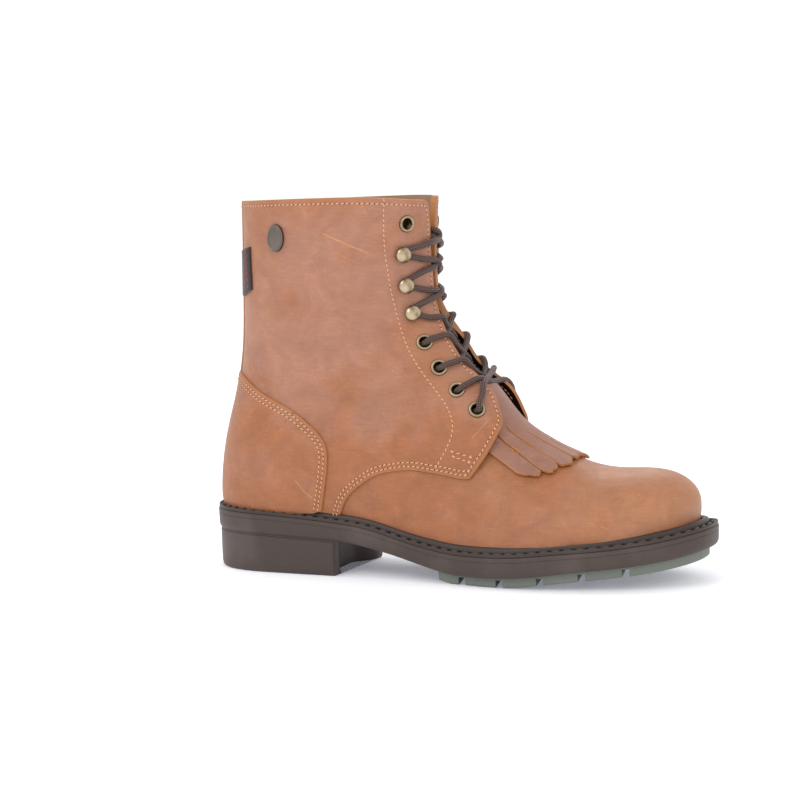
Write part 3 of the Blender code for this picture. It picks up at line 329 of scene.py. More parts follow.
def lastNormal(row, share, side):
    row, share, side = floatArrays(row, share, side)
    step = 0.01
    mid = np.clip(row, step, collarRow - step)
    at = np.where(row >= heelEndRow, share, np.maximum(share, step))
    across = lastPoint(mid, at + step, side) - lastPoint(mid, at - step, side)
    along = lastPoint(mid + step, at, side) - lastPoint(mid - step, at, side)
    return unit(side[..., None] * np.cross(along, across))


def skin(row, share, side, out=0.0):
    return lastPoint(row, share, side) + lastNormal(row, share, side) * np.asarray(out, float)[..., None]


def quarterOut(row, share, side):  # height of a panel's face above the last
    edge = facingShare(row, side)
    lift = last["lift"](row) * ease(share, edge - layers["liftFrom"], edge - layers["liftFull"])
    return layers["quarter"] + lift


def counterOut(row, share, side):
    return np.full(np.shape(row), layers["quarter"] + layers["counter"])


def stripOut(row, share, side):
    return np.full(np.shape(row), layers["quarter"] + layers["strip"])


print("last ready, sideways shift", round(float(yMiddle), 3))


# finishes

leatherLook = {
    "tan": "#9C613D", "rosy": "#A27059", "pale": "#BC8A66", "edge": "#AD6A3C", "cut": "#A66E40",
    # the dark colour inside the lower facings is partly the lining's own dye and partly painted shade
    "scratch": "#D49660", "lining": "#A5805F", "darkLiningAndShade": "#3A2116",
}
leatherGrain = {"cellMm": 0.75, "mottled": 0.55, "strength": 0.22, "depth": 0.25 * mm}
brushStrokes = {"sizeMm": (7.0, 7.0, 1.1), "turn": (0.0, 0.35, 0.0), "detail": 4.0, "roughness": 0.7}
leatherNoises = {  # size in mm, detail, roughness, distortion
    "cloud": (46.0, 3.0, 0.55, 0.0), "mottle": (9.0, 6.0, 0.62, 0.0), "speck": (0.9, 2.0, 0.5, 0.0),
    "marble": (21.0, 5.0, 0.6, 1.3),
}
leatherMasks = {  # source, the range of it that counts, what its ends give, kind of step
    "rosyCloudsAndPaintedLight": ("cloud", 0.36, 0.64, 0.0, 1.0, "SMOOTHSTEP"),
    # painted light: by height alone, tan low on the boot and rosier higher up
    "paintedLightByHeight": ("Z", 40 * mm, 125 * mm, -0.75, 0.3, "LINEAR"),
    "paler": ("mottle", 0.5, 0.85, 0.0, 0.3, "SMOOTHSTEP"),
    "toe": ("X", 55 * mm, 125 * mm, 0.0, 0.3, "SMOOTHSTEP"),
    "specks": ("speck", 0.3, 0.7, 0.96, 1.035, "LINEAR"),
    "marbling": ("marble", 0.3, 0.7, 0.86, 1.11, "LINEAR"),
    "strokes": ("brush", 0.3, 0.7, 0.93, 1.06, "LINEAR"),
    "dust": ("speck", 0.56, 0.74, 0.0, 1.0, "SMOOTHSTEP"),
    "worn": ("brush", 0.5, 0.72, 0.0, 0.5, "SMOOTHSTEP"),
    "outerSide": ("Y", -4 * mm, -8 * mm, 0.0, 1.0, "LINEAR"),
    "broken": ("mottle", 0.38, 0.66, 0.1, 0.75, "LINEAR"),
    "rub": ("edgeMm", 2.4, 0.2, 0.0, 0.5, "SMOOTHSTEP"),
    "gloss": ("mottle", 0.3, 0.7, 0.4, 0.6, "LINEAR"),
}
maskSteps = (
    # the first step adds the painted light by height to the rosy clouds
    ("ADD", "rosyCloudsAndPaintedLight", "paintedLightByHeight"), ("ADD", "paler", "toe"), ("MULTIPLY", "dust", "worn"),
    ("MULTIPLY", "scratches", "outerSide"), ("MULTIPLY", "scratches", "broken"),
)
leatherCoats = (  # mask or strength, colour or shade, in the order they lie on each other
    ("rosyCloudsAndPaintedLight", "rosy", "MIX"), ("paler", "pale", "MIX"),
    (1.0, "specks", "MULTIPLY"), (1.0, "marbling", "MULTIPLY"), (1.0, "strokes", "MULTIPLY"),
    ("dust", "scratch", "MIX"), ("scratches", "scratch", "MIX"), ("rub", "edge", "MIX"),
    ("lining", "inside", "MIX"), ("raw", "cut", "MIX"),
)
scratchMarks = (  # x, z of both ends on the outer side, width, strength
    (-57.8, 191.6, -35.1, 180.4, 0.75, 0.95), (-60.7, 186.5, -40.0, 174.4, 0.45, 0.4),
    (-70.8, 207.2, -67.4, 202.3, 1.7, 0.3), (-35.8, 206.4, -33.6, 200.8, 1.5, 0.28),
    (-42.5, 196.6, -37.5, 197.0, 0.4, 0.35), (-15.7, 187.3, -18.9, 174.6, 0.7, 0.5),
    (-25.8, 174.9, -27.8, 158.8, 0.5, 0.25), (-58.3, 147.4, -53.7, 150.0, 0.45, 0.4),
    (23.9, 78.0, 32.9, 89.5, 0.45, 0.75), (-82.9, 52.3, -77.6, 45.8, 0.5, 0.7),
    (-77.6, 45.8, -73.1, 42.6, 0.5, 0.8),
    (-43.0, 87.1, -34.7, 85.1, 0.5, 0.45), (-51.3, 114.0, -47.0, 109.6, 0.6, 0.25),
    (104.0, 44.0, 107.0, 46.5, 0.5, 0.5), (99.0, 33.0, 104.0, 31.0, 0.6, 0.45),
    (93.0, 35.0, 98.0, 31.5, 0.4, 0.4),
)


def scratchGroup():
    # mask of one scratch: 1 on the line from start to end in the side view, on the outer side of the boot
    group = bpy.data.node_groups.new("scratchMark", "ShaderNodeTree")
    for name, kind in (("Place", "NodeSocketVector"), ("Start", "NodeSocketVector"),
                       ("Run", "NodeSocketVector"), ("Width", "NodeSocketFloat")):
        group.interface.new_socket(name, in_out="INPUT", socket_type=kind)
    group.interface.new_socket("Mask", in_out="OUTPUT", socket_type="NodeSocketFloat")
    given = addNode(group, "NodeGroupInput").outputs
    offset = addNode(group, "ShaderNodeVectorMath", {"operation": "SUBTRACT"},
                     {"Vector": given["Place"], "Vector_001": given["Start"]})
    along = addNode(group, "ShaderNodeVectorMath", {"operation": "DOT_PRODUCT"},
                    {"Vector": offset, "Vector_001": given["Run"]})
    length = addNode(group, "ShaderNodeVectorMath", {"operation": "DOT_PRODUCT"},
                     {"Vector": given["Run"], "Vector_001": given["Run"]})
    part = addNode(group, "ShaderNodeMath", {"operation": "DIVIDE", "use_clamp": True},
                   {"Value": along.outputs["Value"], "Value_001": length.outputs["Value"]})
    foot = addNode(group, "ShaderNodeVectorMath", {"operation": "SCALE"},
                   {"Vector": given["Run"], "Scale": part})
    away = addNode(group, "ShaderNodeVectorMath", {"operation": "DISTANCE"},
                   {"Vector": offset, "Vector_001": foot})
    mask = addNode(group, "ShaderNodeMapRange", {"interpolation_type": "SMOOTHSTEP"},
                   {"Value": away.outputs["Value"], "From Min": given["Width"], "From Max": 0.0})
    addNode(group, "NodeGroupOutput", {}, {"Mask": mask})
    return group


def makeLeather(name, look):
    # oiled pull-up cowhide: smooth and waxy, paler where it was bent, rubbed or cut; tan low down and rosier
    # higher up is painted light, set by height alone
    material, tree, shader = newFinish(name, {
        "Roughness": 0.5, "Specular IOR Level": 0.42, "Coat Weight": 0.06, "Coat Roughness": 0.38})
    place = addNode(tree, "ShaderNodeVectorMath", {"operation": "SUBTRACT"}, {
        "Vector": addNode(tree, "ShaderNodeTexCoord").outputs["Object"],
        "Vector_001": (0.0, 0.0, floorDrop * mm)})
    parts = {s.name: s for s in addNode(tree, "ShaderNodeSeparateXYZ", {}, {"Vector": place}).outputs}
    for key in ("edgeMm", "raw", "lining", "facing"):
        parts[key] = addNode(tree, "ShaderNodeAttribute", {"attribute_name": key}).outputs["Fac"]
    for key, (size, detail, rough, swirl) in leatherNoises.items():
        parts[key] = addNode(tree, "ShaderNodeTexNoise", {}, {
            "Vector": place, "Scale": perMm(size), "Detail": detail, "Roughness": rough, "Distortion": swirl})
    brushed = addNode(tree, "ShaderNodeMapping", {"vector_type": "POINT"}, {
        "Vector": place, "Rotation": brushStrokes["turn"],
        "Scale": [perMm(s) for s in brushStrokes["sizeMm"]]})
    parts["brush"] = addNode(tree, "ShaderNodeTexNoise", {}, {
        "Vector": brushed, "Scale": 1.0, "Detail": brushStrokes["detail"],
        "Roughness": brushStrokes["roughness"]})
    for key, (source, low, high, least, most, step) in leatherMasks.items():
        parts[key] = addNode(tree, "ShaderNodeMapRange", {"interpolation_type": step}, {
            "Value": parts[source], "From Min": low, "From Max": high, "To Min": least, "To Max": most})
    group, parts["scratches"] = scratchGroup(), 0.0
    flat = addNode(tree, "ShaderNodeVectorMath", {"operation": "MULTIPLY"},
                   {"Vector": place, "Vector_001": (1.0, 0.0, 1.0)})
    for x1, z1, x2, z2, width, strength in scratchMarks:
        mark = addNode(tree, "ShaderNodeGroup", {"node_tree": group}, {
            "Place": flat, "Start": (x1 * mm, 0.0, z1 * mm), "Run": ((x2 - x1) * mm, 0.0, (z2 - z1) * mm),
            "Width": width * mm})
        faint = addNode(tree, "ShaderNodeMath", {"operation": "MULTIPLY"},
                        {"Value": mark, "Value_001": strength})
        parts["scratches"] = addNode(tree, "ShaderNodeMath", {"operation": "MAXIMUM"}, {
            "Value": parts["scratches"], "Value_001": faint})
    for operation, first, second in maskSteps:
        parts[first] = addNode(tree, "ShaderNodeMath", {"operation": operation, "use_clamp": True}, {
            "Value": parts[first], "Value_001": parts[second]})
    parts["inside"] = addNode(tree, "ShaderNodeMix", {"data_type": "RGBA"}, {
        "Factor_Float": parts["facing"], "A_Color": linearColour(look["lining"]),
        "B_Color": linearColour(look["darkLiningAndShade"])})
    tone = linearColour(look["tan"])
    for mask, coat, blend in leatherCoats:
        tone = addNode(tree, "ShaderNodeMix", {"data_type": "RGBA", "blend_type": blend}, {
            "Factor_Float": parts.get(mask, mask), "A_Color": tone,
            "B_Color": linearColour(look[coat]) if coat in look else parts[coat]})
    grain = addNode(tree, "ShaderNodeTexVoronoi", {"feature": "SMOOTH_F1"}, {
        "Vector": place, "Scale": perMm(leatherGrain["cellMm"])})
    height = addNode(tree, "ShaderNodeMix", {}, {
        "Factor_Float": leatherGrain["mottled"], "A_Float": grain, "B_Float": parts["mottle"]})
    bump = addNode(tree, "ShaderNodeBump", {}, {
        "Strength": leatherGrain["strength"], "Distance": leatherGrain["depth"], "Height": height})
    feed(tree, shader, {"Base Color": tone, "Roughness": parts["gloss"], "Normal": bump})
    return material


leather = makeLeather("oiledPullUpLeather", leatherLook)
# the same hide in a greyer, rosier tone
kiltieLeather = makeLeather("rosyPullUpLeather",
                            leatherLook | {"tan": "#926552", "rosy": "#966E62", "pale": "#A68478"})
print("finishes ready")


# sheets of leather: a grid on the last, closed to a wall with rounded cut edges

def runAlong(points):  # length of a line of points up to each of them
    return np.concatenate([[0], np.cumsum(np.linalg.norm(np.diff(points, axis=0), axis=1))])


def sideCurve(points, count):  # even points on a smooth line drawn in the side view as (x, z)
    points = np.array(points, float)
    run = runAlong(points)
    at = np.linspace(0, run[-1], count)
    return np.stack([smoothCurve(run, points[:, k])(at) for k in (0, 1)], -1)


def sideLine(points, out, side=-1, count=200):
    # a smooth line drawn in the side view, found again on the last as (row, share)
    want = sideCurve(points, count)

    def spot(row, share):
        return skin(row, share, side, out(row, share, side))[..., (0, 2)]

    rows, shares = (v.ravel() for v in np.meshgrid(np.linspace(5, collarRow, 200), np.linspace(0, 1, 140)))
    grid = spot(rows, shares)
    near = [int(np.argmin(np.sum((grid - target) ** 2, axis=1))) for target in want]
    row, share, step = rows[near], shares[near], 1e-3
    for _ in range(8):  # closes in on the line itself
        miss = want - spot(row, share)
        byRow = (spot(row + step, share) - spot(row - step, share)) / (2 * step)
        byShare = (spot(row, share + step) - spot(row, share - step)) / (2 * step)
        area = byRow[:, 0] * byShare[:, 1] - byRow[:, 1] * byShare[:, 0]
        area = np.where(np.abs(area) < 1e-3, 1e-3, area)
        moveRow = (miss[:, 0] * byShare[:, 1] - miss[:, 1] * byShare[:, 0]) / area
        moveShare = (byRow[:, 0] * miss[:, 1] - byRow[:, 1] * miss[:, 0]) / area
        row = np.clip(row + np.clip(moveRow, -0.05, 0.05), 0, collarRow)
        share = np.clip(share + np.clip(moveShare, -0.006, 0.006), 0, 1)
    return np.stack([row, share], -1)


def soften(line, times):  # rounds the corners of a line of points and keeps its ends
    for _ in range(times):
        line = np.concatenate([line[:1], (line[:-2] + 2 * line[1:-1] + line[2:]) / 4, line[-1:]])
    return line


def evenLine(line, at):  # points of a (row, share) line at parts of its true length
    line = np.asarray(line, float)
    along = runAlong(lastPoint(line[:, 0], line[:, 1], -1))
    return np.stack([np.interp(np.asarray(at) * along[-1], along, line[:, k]) for k in (0, 1)], -1)


def closeSteps(count, length, first=True, final=True):
    # steps from 0 to 1 that crowd at an end with a cut edge and rows of stitches
    fine = np.array((0, 0.15, 0.35, 0.6, 1, 1.5, 2, 2.6, 3.2, 3.8, 4.4, 5, 5.8, 6.7)) / length
    low = fine if first else np.zeros(1)
    high = 1 - fine[::-1] if final else np.ones(1)
    middle = np.linspace(low[-1], high[0], count - len(low) - len(high) + 2)
    return np.concatenate([low, middle[1:-1], high])


def patchGrid(bottom, top, left, right, us, vs):
    # the four sides are (row, share) points: bottom and top along u, left and right along v
    b, t, l, r = evenLine(bottom, us), evenLine(top, us), evenLine(left, vs), evenLine(right, vs)
    u, v = us[:, None, None], vs[None, :, None]
    sides = (1 - v) * b[:, None] + v * t[:, None] + (1 - u) * l[None] + u * r[None]
    corners = (1 - u) * (1 - v) * b[0] + u * (1 - v) * b[-1] + (1 - u) * v * t[0] + u * v * t[-1]
    grid = sides - corners
    return grid[..., 0], grid[..., 1]


def edgeDistance(points, edges):
    flat = points.reshape(-1, 3)
    line = np.concatenate(edges)
    nearest = [np.linalg.norm(part[:, None] - line[None], axis=-1).min(1)
               for part in np.array_split(flat, 60)]
    return np.concatenate(nearest).reshape(points.shape[:-1])


def roundOff(distance, radius):  # how far a cut edge has dropped at a distance from it
    inside = np.clip(radius - distance, 0, radius)
    return radius - np.sqrt(np.maximum(radius * radius - inside * inside, 0))


def gridEdges(points, names):
    sides = {"u0": points[0], "u1": points[-1], "v0": points[:, 0], "v1": points[:, -1]}
    dense = []
    for name in names:
        line = sides[name]
        dense += [line] + [line[:-1] + (line[1:] - line[:-1]) * part for part in (0.25, 0.5, 0.75)]
    return dense


def setAttribute(mesh, name, values):  # a number or a direction for each point
    kind, key = ("FLOAT", "value") if np.ndim(values) == 1 else ("FLOAT_VECTOR", "vector")
    mesh.attributes.new(name, kind, "POINT").data.foreach_set(key, np.asarray(values, np.float32).ravel())


def shellObject(name, patches, twins=(), material=None, holes=()):
    # patches hold outer and inner grids of points and their values; twins are welded, and holes cut through
    outer = np.concatenate([p["outer"].reshape(-1, 3) for p in patches])
    inner = np.concatenate([p["inner"].reshape(-1, 3) for p in patches])
    total, start, quads, indexes = len(outer), 0, [], []
    for p in patches:
        nu, nv = p["outer"].shape[:2]
        index = start + np.arange(nu * nv).reshape(nu, nv)
        quad = np.stack([index[:-1, :-1], index[1:, :-1], index[1:, 1:], index[:-1, 1:]], -1).reshape(-1, 4)
        quads.append(quad[:, ::-1] if p.get("flip") else quad)
        indexes.append(index)
        start += nu * nv
    quads = np.concatenate(quads)
    same = np.arange(total)
    for first, second, place, twinPlace in twins:
        same[indexes[second][twinPlace]] = indexes[first][place]
    quads = same[quads]
    middles = outer[quads].mean(axis=1)
    for spot in holes:
        away = np.linalg.norm(middles - spot, axis=1)
        quads, middles = quads[away > holeRadius], middles[away > holeRadius]
    ends = np.stack([quads, np.roll(quads, -1, axis=1)], -1).reshape(-1, 2)
    codes = np.sort(ends, axis=1) @ np.array([total, 1])
    _, back, counts = np.unique(codes, return_inverse=True, return_counts=True)
    rim = ends[counts[back] == 1]
    walls = np.stack([rim[:, 1], rim[:, 0], rim[:, 0] + total, rim[:, 1] + total], -1)
    faces = np.concatenate([quads, quads[:, ::-1] + total, walls])
    used, faces = np.unique(faces, return_inverse=True)
    faces = faces.reshape(-1, 4)
    points = np.concatenate([outer, inner])[used]
    mesh = bpy.data.meshes.new(name)
    mesh.from_pydata((points * mm).tolist(), [], faces.tolist())
    for key in patches[0]["values"]:
        values = np.concatenate([p["values"][key][face].ravel() for face in (0, 1) for p in patches])
        setAttribute(mesh, key, values[used])
    return addPiece(name, mesh, material)


def addPiece(name, mesh, material, sharp=50.0):
    mesh.transform(Matrix.Translation((0.0, 0.0, floorDrop * mm)))  # up onto the floor
    piece = bpy.data.objects.new(name, mesh)
    scene.collection.objects.link(piece)
    mesh.materials.clear()
    mesh.materials.append(material)
    mesh.shade_smooth()
    mesh.set_sharp_from_angle(angle=math.radians(sharp))
    return piece


def leatherPatch(row, share, side, outerOut, innerOut, free, radius=0.8, flip=False):
    # outer and inner faces of one sheet; free names the sides of the grid that show a cut edge
    face = skin(row, share, side, outerOut)
    distance = edgeDistance(face, gridEdges(face, free)) if free else np.full(row.shape, 50.0)
    relief = bootRelief(lastPoint(row, share, side))
    outer = skin(row, share, side, outerOut + relief - roundOff(distance, radius))
    inner = skin(row, share, side, np.minimum(innerOut + relief, outerOut + relief - radius))
    raw = 1 - ease(distance, 0.1, 0.7)
    front = facingShare(row, side)
    # inside the lower facings the lining turns dark: partly its dye, partly painted shade
    nearFacing = ease(share, front - 0.3, front - 0.24) * ease(row, 16.5, 13.0) * ease(row, 7.6, 7.8)
    values = {"edgeMm": (distance, distance), "raw": (raw, raw),
              "lining": (np.zeros_like(raw), np.ones_like(raw)), "facing": (nearFacing, nearFacing)}
    return {"outer": outer, "inner": inner, "values": values, "flip": flip}


# soft hollows and swells of the leather: x, z, reach along x, reach along z, height
swells = {
    "lateral": (
        (-96.0, 150.0, 34.0, 26.0, 0.7), (-60.0, 178.0, 26.0, 30.0, -0.5), (-70.0, 116.0, 30.0, 16.0, -0.7),
        (-36.0, 120.0, 16.0, 26.0, 0.6), (-20.0, 84.0, 26.0, 12.0, -0.6), (-104.0, 84.0, 22.0, 14.0, 0.5),
        (40.0, 40.0, 22.0, 12.0, 0.5), (88.0, 42.0, 20.0, 10.0, -0.4), (6.0, 44.0, 20.0, 10.0, -0.5),
    ),
    "medial": (
        (-90.0, 146.0, 30.0, 30.0, 0.7), (-64.0, 182.0, 28.0, 26.0, -0.5), (-60.0, 112.0, 30.0, 18.0, -0.8),
        (-16.0, 78.0, 26.0, 14.0, -0.6), (30.0, 44.0, 26.0, 12.0, 0.5), (80.0, 42.0, 22.0, 10.0, -0.4),
    ),
}


def bootRelief(points):
    x, y, z = points[..., 0], points[..., 1] + yMiddle - toeSwing(points[..., 0]), points[..., 2]
    relief = np.zeros(x.shape)
    for name, sign in (("lateral", -1), ("medial", 1)):
        onSide = ease(sign * y, 4.0, 22.0)
        for cx, cz, rx, rz, height in swells[name]:
            relief += height * onSide * np.exp(-((x - cx) / rx) ** 2 - ((z - cz) / rz) ** 2)
    return relief


weltSizes = {"bead": 4.7}


def beadShare(row, side):  # share at which a cut comes out above the welt's bead
    shares = np.linspace(0, 0.4, 160)
    found = []
    for r, s in zip(*np.broadcast_arrays(np.atleast_1d(np.asarray(row, float)), side)):
        spot = lastPoint(r, shares, s)
        above = spot[:, 2] - soleTop(spot[:, 0]) - weltSizes["bead"] - 0.15
        found.append(0.0 if above[0] > 0 else np.interp(0.0, above, shares))
    return np.array(found)


def beadLine(first, final, count):
    rows = np.linspace(first, final, count)
    return np.stack([rows, beadShare(rows, -1)], -1)


# the panels, with their edges as (row, share) on the outer side
vampEdge = ((0.0, 10.9), (0.2, 10.85), (0.25, 10.65), (0.3, 10.35), (0.34, 10.0), (0.38, 9.6), (0.41, 9.25),
            (0.46, 8.9), (0.56, 8.7), (0.7, 8.6), (1.0, 8.6))  # share, row: its end, under the quarters
quarterEdge = (  # x, z in the side view: lower edge of the quarter, bead to tab
    (-57.0, 33.1), (-52.0, 42.4), (-42.4, 50.8), (-33.8, 56.0), (-22.7, 58.9), (-11.9, 60.0), (-0.6, 58.9),
    (10.4, 57.3), (18.8, 56.0), (23.2, 56.3),
)
tabEdge = ((23.2, 56.3), (28.2, 63.4), (33.0, 71.3), (36.2, 79.0), (38.2, 85.6))  # front of the tab
counterEdge = (  # from the back seam round to the bead
    (-131.5, 113.3), (-122.4, 111.6), (-115.5, 108.6), (-102.6, 102.0), (-92.3, 97.2), (-82.3, 91.9),
    (-73.8, 85.2), (-65.8, 77.6), (-62.2, 69.0), (-62.3, 62.6), (-63.9, 52.3), (-68.2, 34.9),
)
panelSteps = {"vampRows": 130, "vampColumns": 181, "quarterUp": 176, "quarterAcross": 104, "counterAlong": 90,
              "counterUp": 80, "stripUp": 90, "stripAcross": 31}
stripSizes = {"halfWidth": 14.0}
# height, distance from the edge
eyelets = ((93.5, 6.8), (103.9, 8.8), (116.0, 9.0), (129.8, 9.9), (195.7, 15.2))
hooks = ((145.5, 13.6), (161.4, 16.0), (178.8, 17.2))
holeRadius = 3.6
cornerSizes = {"radius": 4.2, "mmPerRow": 5.2}  # top front corner of a facing
# drop of the rim towards the front, at these shares
collarFall = {-1: (0, 0, 0.1, 0.5, 1.1, 2.0, 2.8), 1: (0, 0, 0, 0, 0.2, 0.4, 0.6)}
collarShares = (0, 0.45, 0.6, 0.68, 0.75, 0.82, 0.88)
tabRound = ((9.0, 9.4, 9.9, 10.4), (2.4, 1.8, 0.6, 0.0))  # rows, how far the tab's front goes past the facing
lap = {"from": 0.35, "step": 0.5, "over": 0.12, "below": 2.0, "loose": (1.7, 2.6), "looseDrop": 0.35}


def facingSpot(height, side, away, above):
    # place, outward normal and direction to the edge, at a height and a distance from a facing's front
    rows = np.linspace(7.6, collarRow, 400)
    shares = facingShare(rows, side, away)
    row = np.interp(height, skin(rows, shares, side, quarterOut(rows, shares, side))[:, 2], rows)
    near = np.array((row, row, row + 0.05))
    shares = facingShare(near, side, np.array((away, away - 1.0, away)))
    spot, ahead, rise = skin(near, shares, side, quarterOut(near, shares, side))
    normal = unit(side * np.cross(rise - spot, ahead - spot))
    return spot + normal * above, normal, unit(ahead - spot)


def vampPatch():
    t = np.linspace(-1, 1, panelSteps["vampColumns"])
    share, side = 1 - np.abs(t), np.where(t < 0, -1.0, 1.0)
    ends = np.interp(share, *np.array(vampEdge).T)
    steps = np.linspace(0, 1, panelSteps["vampRows"]) ** 1.15
    row = steps[:, None] * ends[None]
    share, side = np.broadcast_to(share, row.shape), np.broadcast_to(side, row.shape)
    return leatherPatch(row, share, side, np.zeros(row.shape), np.full(row.shape, -layers["wall"]), ())


def quarterSides(side):
    low = np.concatenate([beadLine(10.37, 14.2, 40), [(r, 0.0) for r in np.linspace(14.3, collarRow, 60)]])
    frontRow = collarRow - collarFall[side][-1] / cornerSizes["mmPerRow"]
    rows = np.linspace(9.0, frontRow - cornerSizes["radius"] / cornerSizes["mmPerRow"], 160)
    facing = np.stack([rows, facingShare(rows, -1, -np.interp(rows, *tabRound))], -1)
    front = np.concatenate([sideLine(tabEdge, quarterOut, count=60), facing])
    front = soften(evenLine(front, np.linspace(0, 1, 400)), 60)
    turn = np.linspace(0, np.pi / 2, 14)[::-1]
    away = cornerSizes["radius"] * (1 - np.cos(turn))
    rows = frontRow - cornerSizes["radius"] * (1 - np.sin(turn)) / cornerSizes["mmPerRow"]
    corner = np.stack([rows, facingShare(rows, -1, away)], -1)
    shares = np.linspace(0, corner[0, 1], 60)[:-1]
    upper = np.linspace(collarRow - 1.5, collarRow, 60)
    fall = np.interp(shares, collarShares, collarFall[side])
    heights = lastPoint(upper[None], shares[:, None], -1)[..., 2]
    level = [(np.interp(line[-1] - part, line, upper), share)
             for line, part, share in zip(heights, fall, shares)]
    top = np.concatenate([soften(np.array(level), 6), corner])
    bottom = sideLine(quarterEdge, quarterOut)
    bottom[0], bottom[-1] = low[0], front[0]
    return low, front, bottom, top


def quarterPatch(side):
    us = closeSteps(panelSteps["quarterUp"], 220)
    vs = closeSteps(panelSteps["quarterAcross"], 110, first=False)
    row, share = patchGrid(*quarterSides(side), us, vs)
    share = np.maximum(share, 0.0)
    outer = quarterOut(row, share, side)
    ends = np.interp(share, *np.array(vampEdge).T)
    overlap = ease(ends + lap["from"] - row, 0.0, lap["step"])
    loose = ease(outer, *lap["loose"])
    held = lap["over"] * overlap - lap["below"] * (1 - overlap)  # over the vamp, or a wall of its own
    inner = outer - layers["quarter"] + held * (1 - loose) - lap["looseDrop"] * loose
    return leatherPatch(row, share, side, outer, inner, ("u0", "v1", "u1"), flip=side > 0), (row, share)


def counterPatch(side):
    us = closeSteps(panelSteps["counterAlong"], 80, final=False)
    vs = closeSteps(panelSteps["counterUp"], 80, first=False)
    corner = int(len(counterCurve) * 0.55)
    front, top = counterCurve[corner:][::-1], counterCurve[:corner + 1][::-1]
    bottom = beadLine(front[0, 0], 14.25, 30)
    bottom[0] = front[0]
    seam = np.stack([np.linspace(14.25, top[-1, 0], 9), np.zeros(9)], -1)
    row, share = patchGrid(bottom, top, front, seam, us, vs)
    share = np.maximum(share, 0.0)
    outer = counterOut(row, share, side)
    return leatherPatch(row, share, side, outer, outer - layers["counter"] + clearance, ("u0", "v1"),
                        flip=side < 0)


counterCurve = sideLine(counterEdge, counterOut)
counterCurve[0, 1] = 0.0
vamp = shellObject("vamp", [vampPatch()], material=leather)
(lateralQuarter, quarterSpots), (medialQuarter, medialSpots) = (quarterPatch(side) for side in (-1, 1))
seamRows = np.flatnonzero((quarterSpots[1][:, 0] < 1e-6) & (quarterSpots[0][:, 0] >= heelEndRow))
eyeletSpots = [facingSpot(height, side, away, 0.0)[0] for height, away in eyelets for side in (-1, 1)]
quarters = shellObject("quarters", [lateralQuarter, medialQuarter], [(0, 1, (seamRows, 0), (seamRows, 0))],
                       leather, eyeletSpots)
counter = shellObject("heelCounter", [counterPatch(side) for side in (-1, 1)], [(0, 1, -1, -1)], leather)
for piece in (vamp, quarters):
    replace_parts(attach(piece, "root"), "upper")
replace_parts(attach(counter, "root"), "heel_counter")
print("leather panels", sum(len(p.data.polygons) for p in (vamp, quarters, counter)))


# strip over the back seam, tongue and fringed kiltie
# edge and slits of the outer half as (row, distance across), tip rows and slit starts by strip
kiltieSizes = {
    "lines": (
        ((5.9, 32.0), (6.7, 30.9), (7.0, 29.6), (7.3, 28.3), (7.6, 27.3), (7.93, 26.5), (8.4, 20.0),
         (9.0, 11.5), (9.6, 9.0)),
        ((6.0, 27.5), (6.38, 25.7), (6.95, 23.1), (7.5, 21.1), (8.03, 20.1), (8.4, 15.5), (9.0, 8.8),
         (9.6, 6.8)),
        ((5.8, 20.0), (6.18, 18.5), (6.75, 16.2), (7.38, 14.7), (8.0, 14.2), (8.4, 10.6), (9.0, 6.0),
         (9.6, 4.6)),
        ((5.6, 8.8), (6.03, 8.0), (6.53, 6.8), (7.03, 6.6), (7.48, 7.6), (8.4, 5.4), (9.0, 3.0), (9.6, 2.3)),
        ((5.6, 0.0), (9.6, 0.0)),
    ),
    "tips": ((6.78, 6.34, 6.28), (6.2, 6.03, 6.12), (6.06, 5.86, 6.0), (5.98, 5.9, 5.96)),
    "slitRows": (8.3, 8.1, 7.5, 7.0), "curl": (0.5, 0.7, 0.3, 0.5),
    "top": 9.4, "slit": 0.25, "steps": 76, "columns": 15, "out": 2.3, "under": 0.8,
}
tongueSizes = {"first": 8.2, "final": 19.4, "pastEdge": 14.0, "out": -6.2, "under": -8.0}


def stripPatch():
    across = closeSteps(panelSteps["stripAcross"], 2 * stripSizes["halfWidth"]) * 2 - 1
    side = np.where(across < 0, -1.0, 1.0)
    away = stripSizes["halfWidth"] * np.abs(across)
    low = np.interp(np.abs(seamShare(np.full(across.shape, 16.6), side, away)),
                    *counterCurve[:60, ::-1].T) - 0.1
    steps = closeSteps(panelSteps["stripUp"], 100, first=False)
    row = low[None] + steps[:, None] * (collarRow - low[None])
    side, away = np.broadcast_to(side, row.shape), np.broadcast_to(away, row.shape)
    share = seamShare(row, side, away)
    outer = stripOut(row, share, side)
    return leatherPatch(row, share, side, outer, outer - layers["strip"] + clearance, ("v0", "v1", "u1"))


def tonguePatch():
    across = np.linspace(-1, 1, 41)[None]
    row = np.linspace(tongueSizes["first"], tongueSizes["final"], 80)[:, None] + 0 * across
    side = np.broadcast_to(np.where(across < 0, -1.0, 1.0), row.shape)
    share = 1 - np.abs(across) * (1 - facingShare(row, side, tongueSizes["pastEdge"]))
    outer = np.full(row.shape, tongueSizes["out"])
    patch = leatherPatch(row, share, side, outer, np.full(row.shape, tongueSizes["under"]),
                         ("v0", "v1", "u1", "u0"))
    # the whole tongue takes the dark lining colour: partly its own dark hide, partly painted shade of the
    # throat behind the laces
    dark = np.ones(row.shape)
    patch["values"].update({"lining": (dark, dark), "facing": (dark, dark)})
    return patch


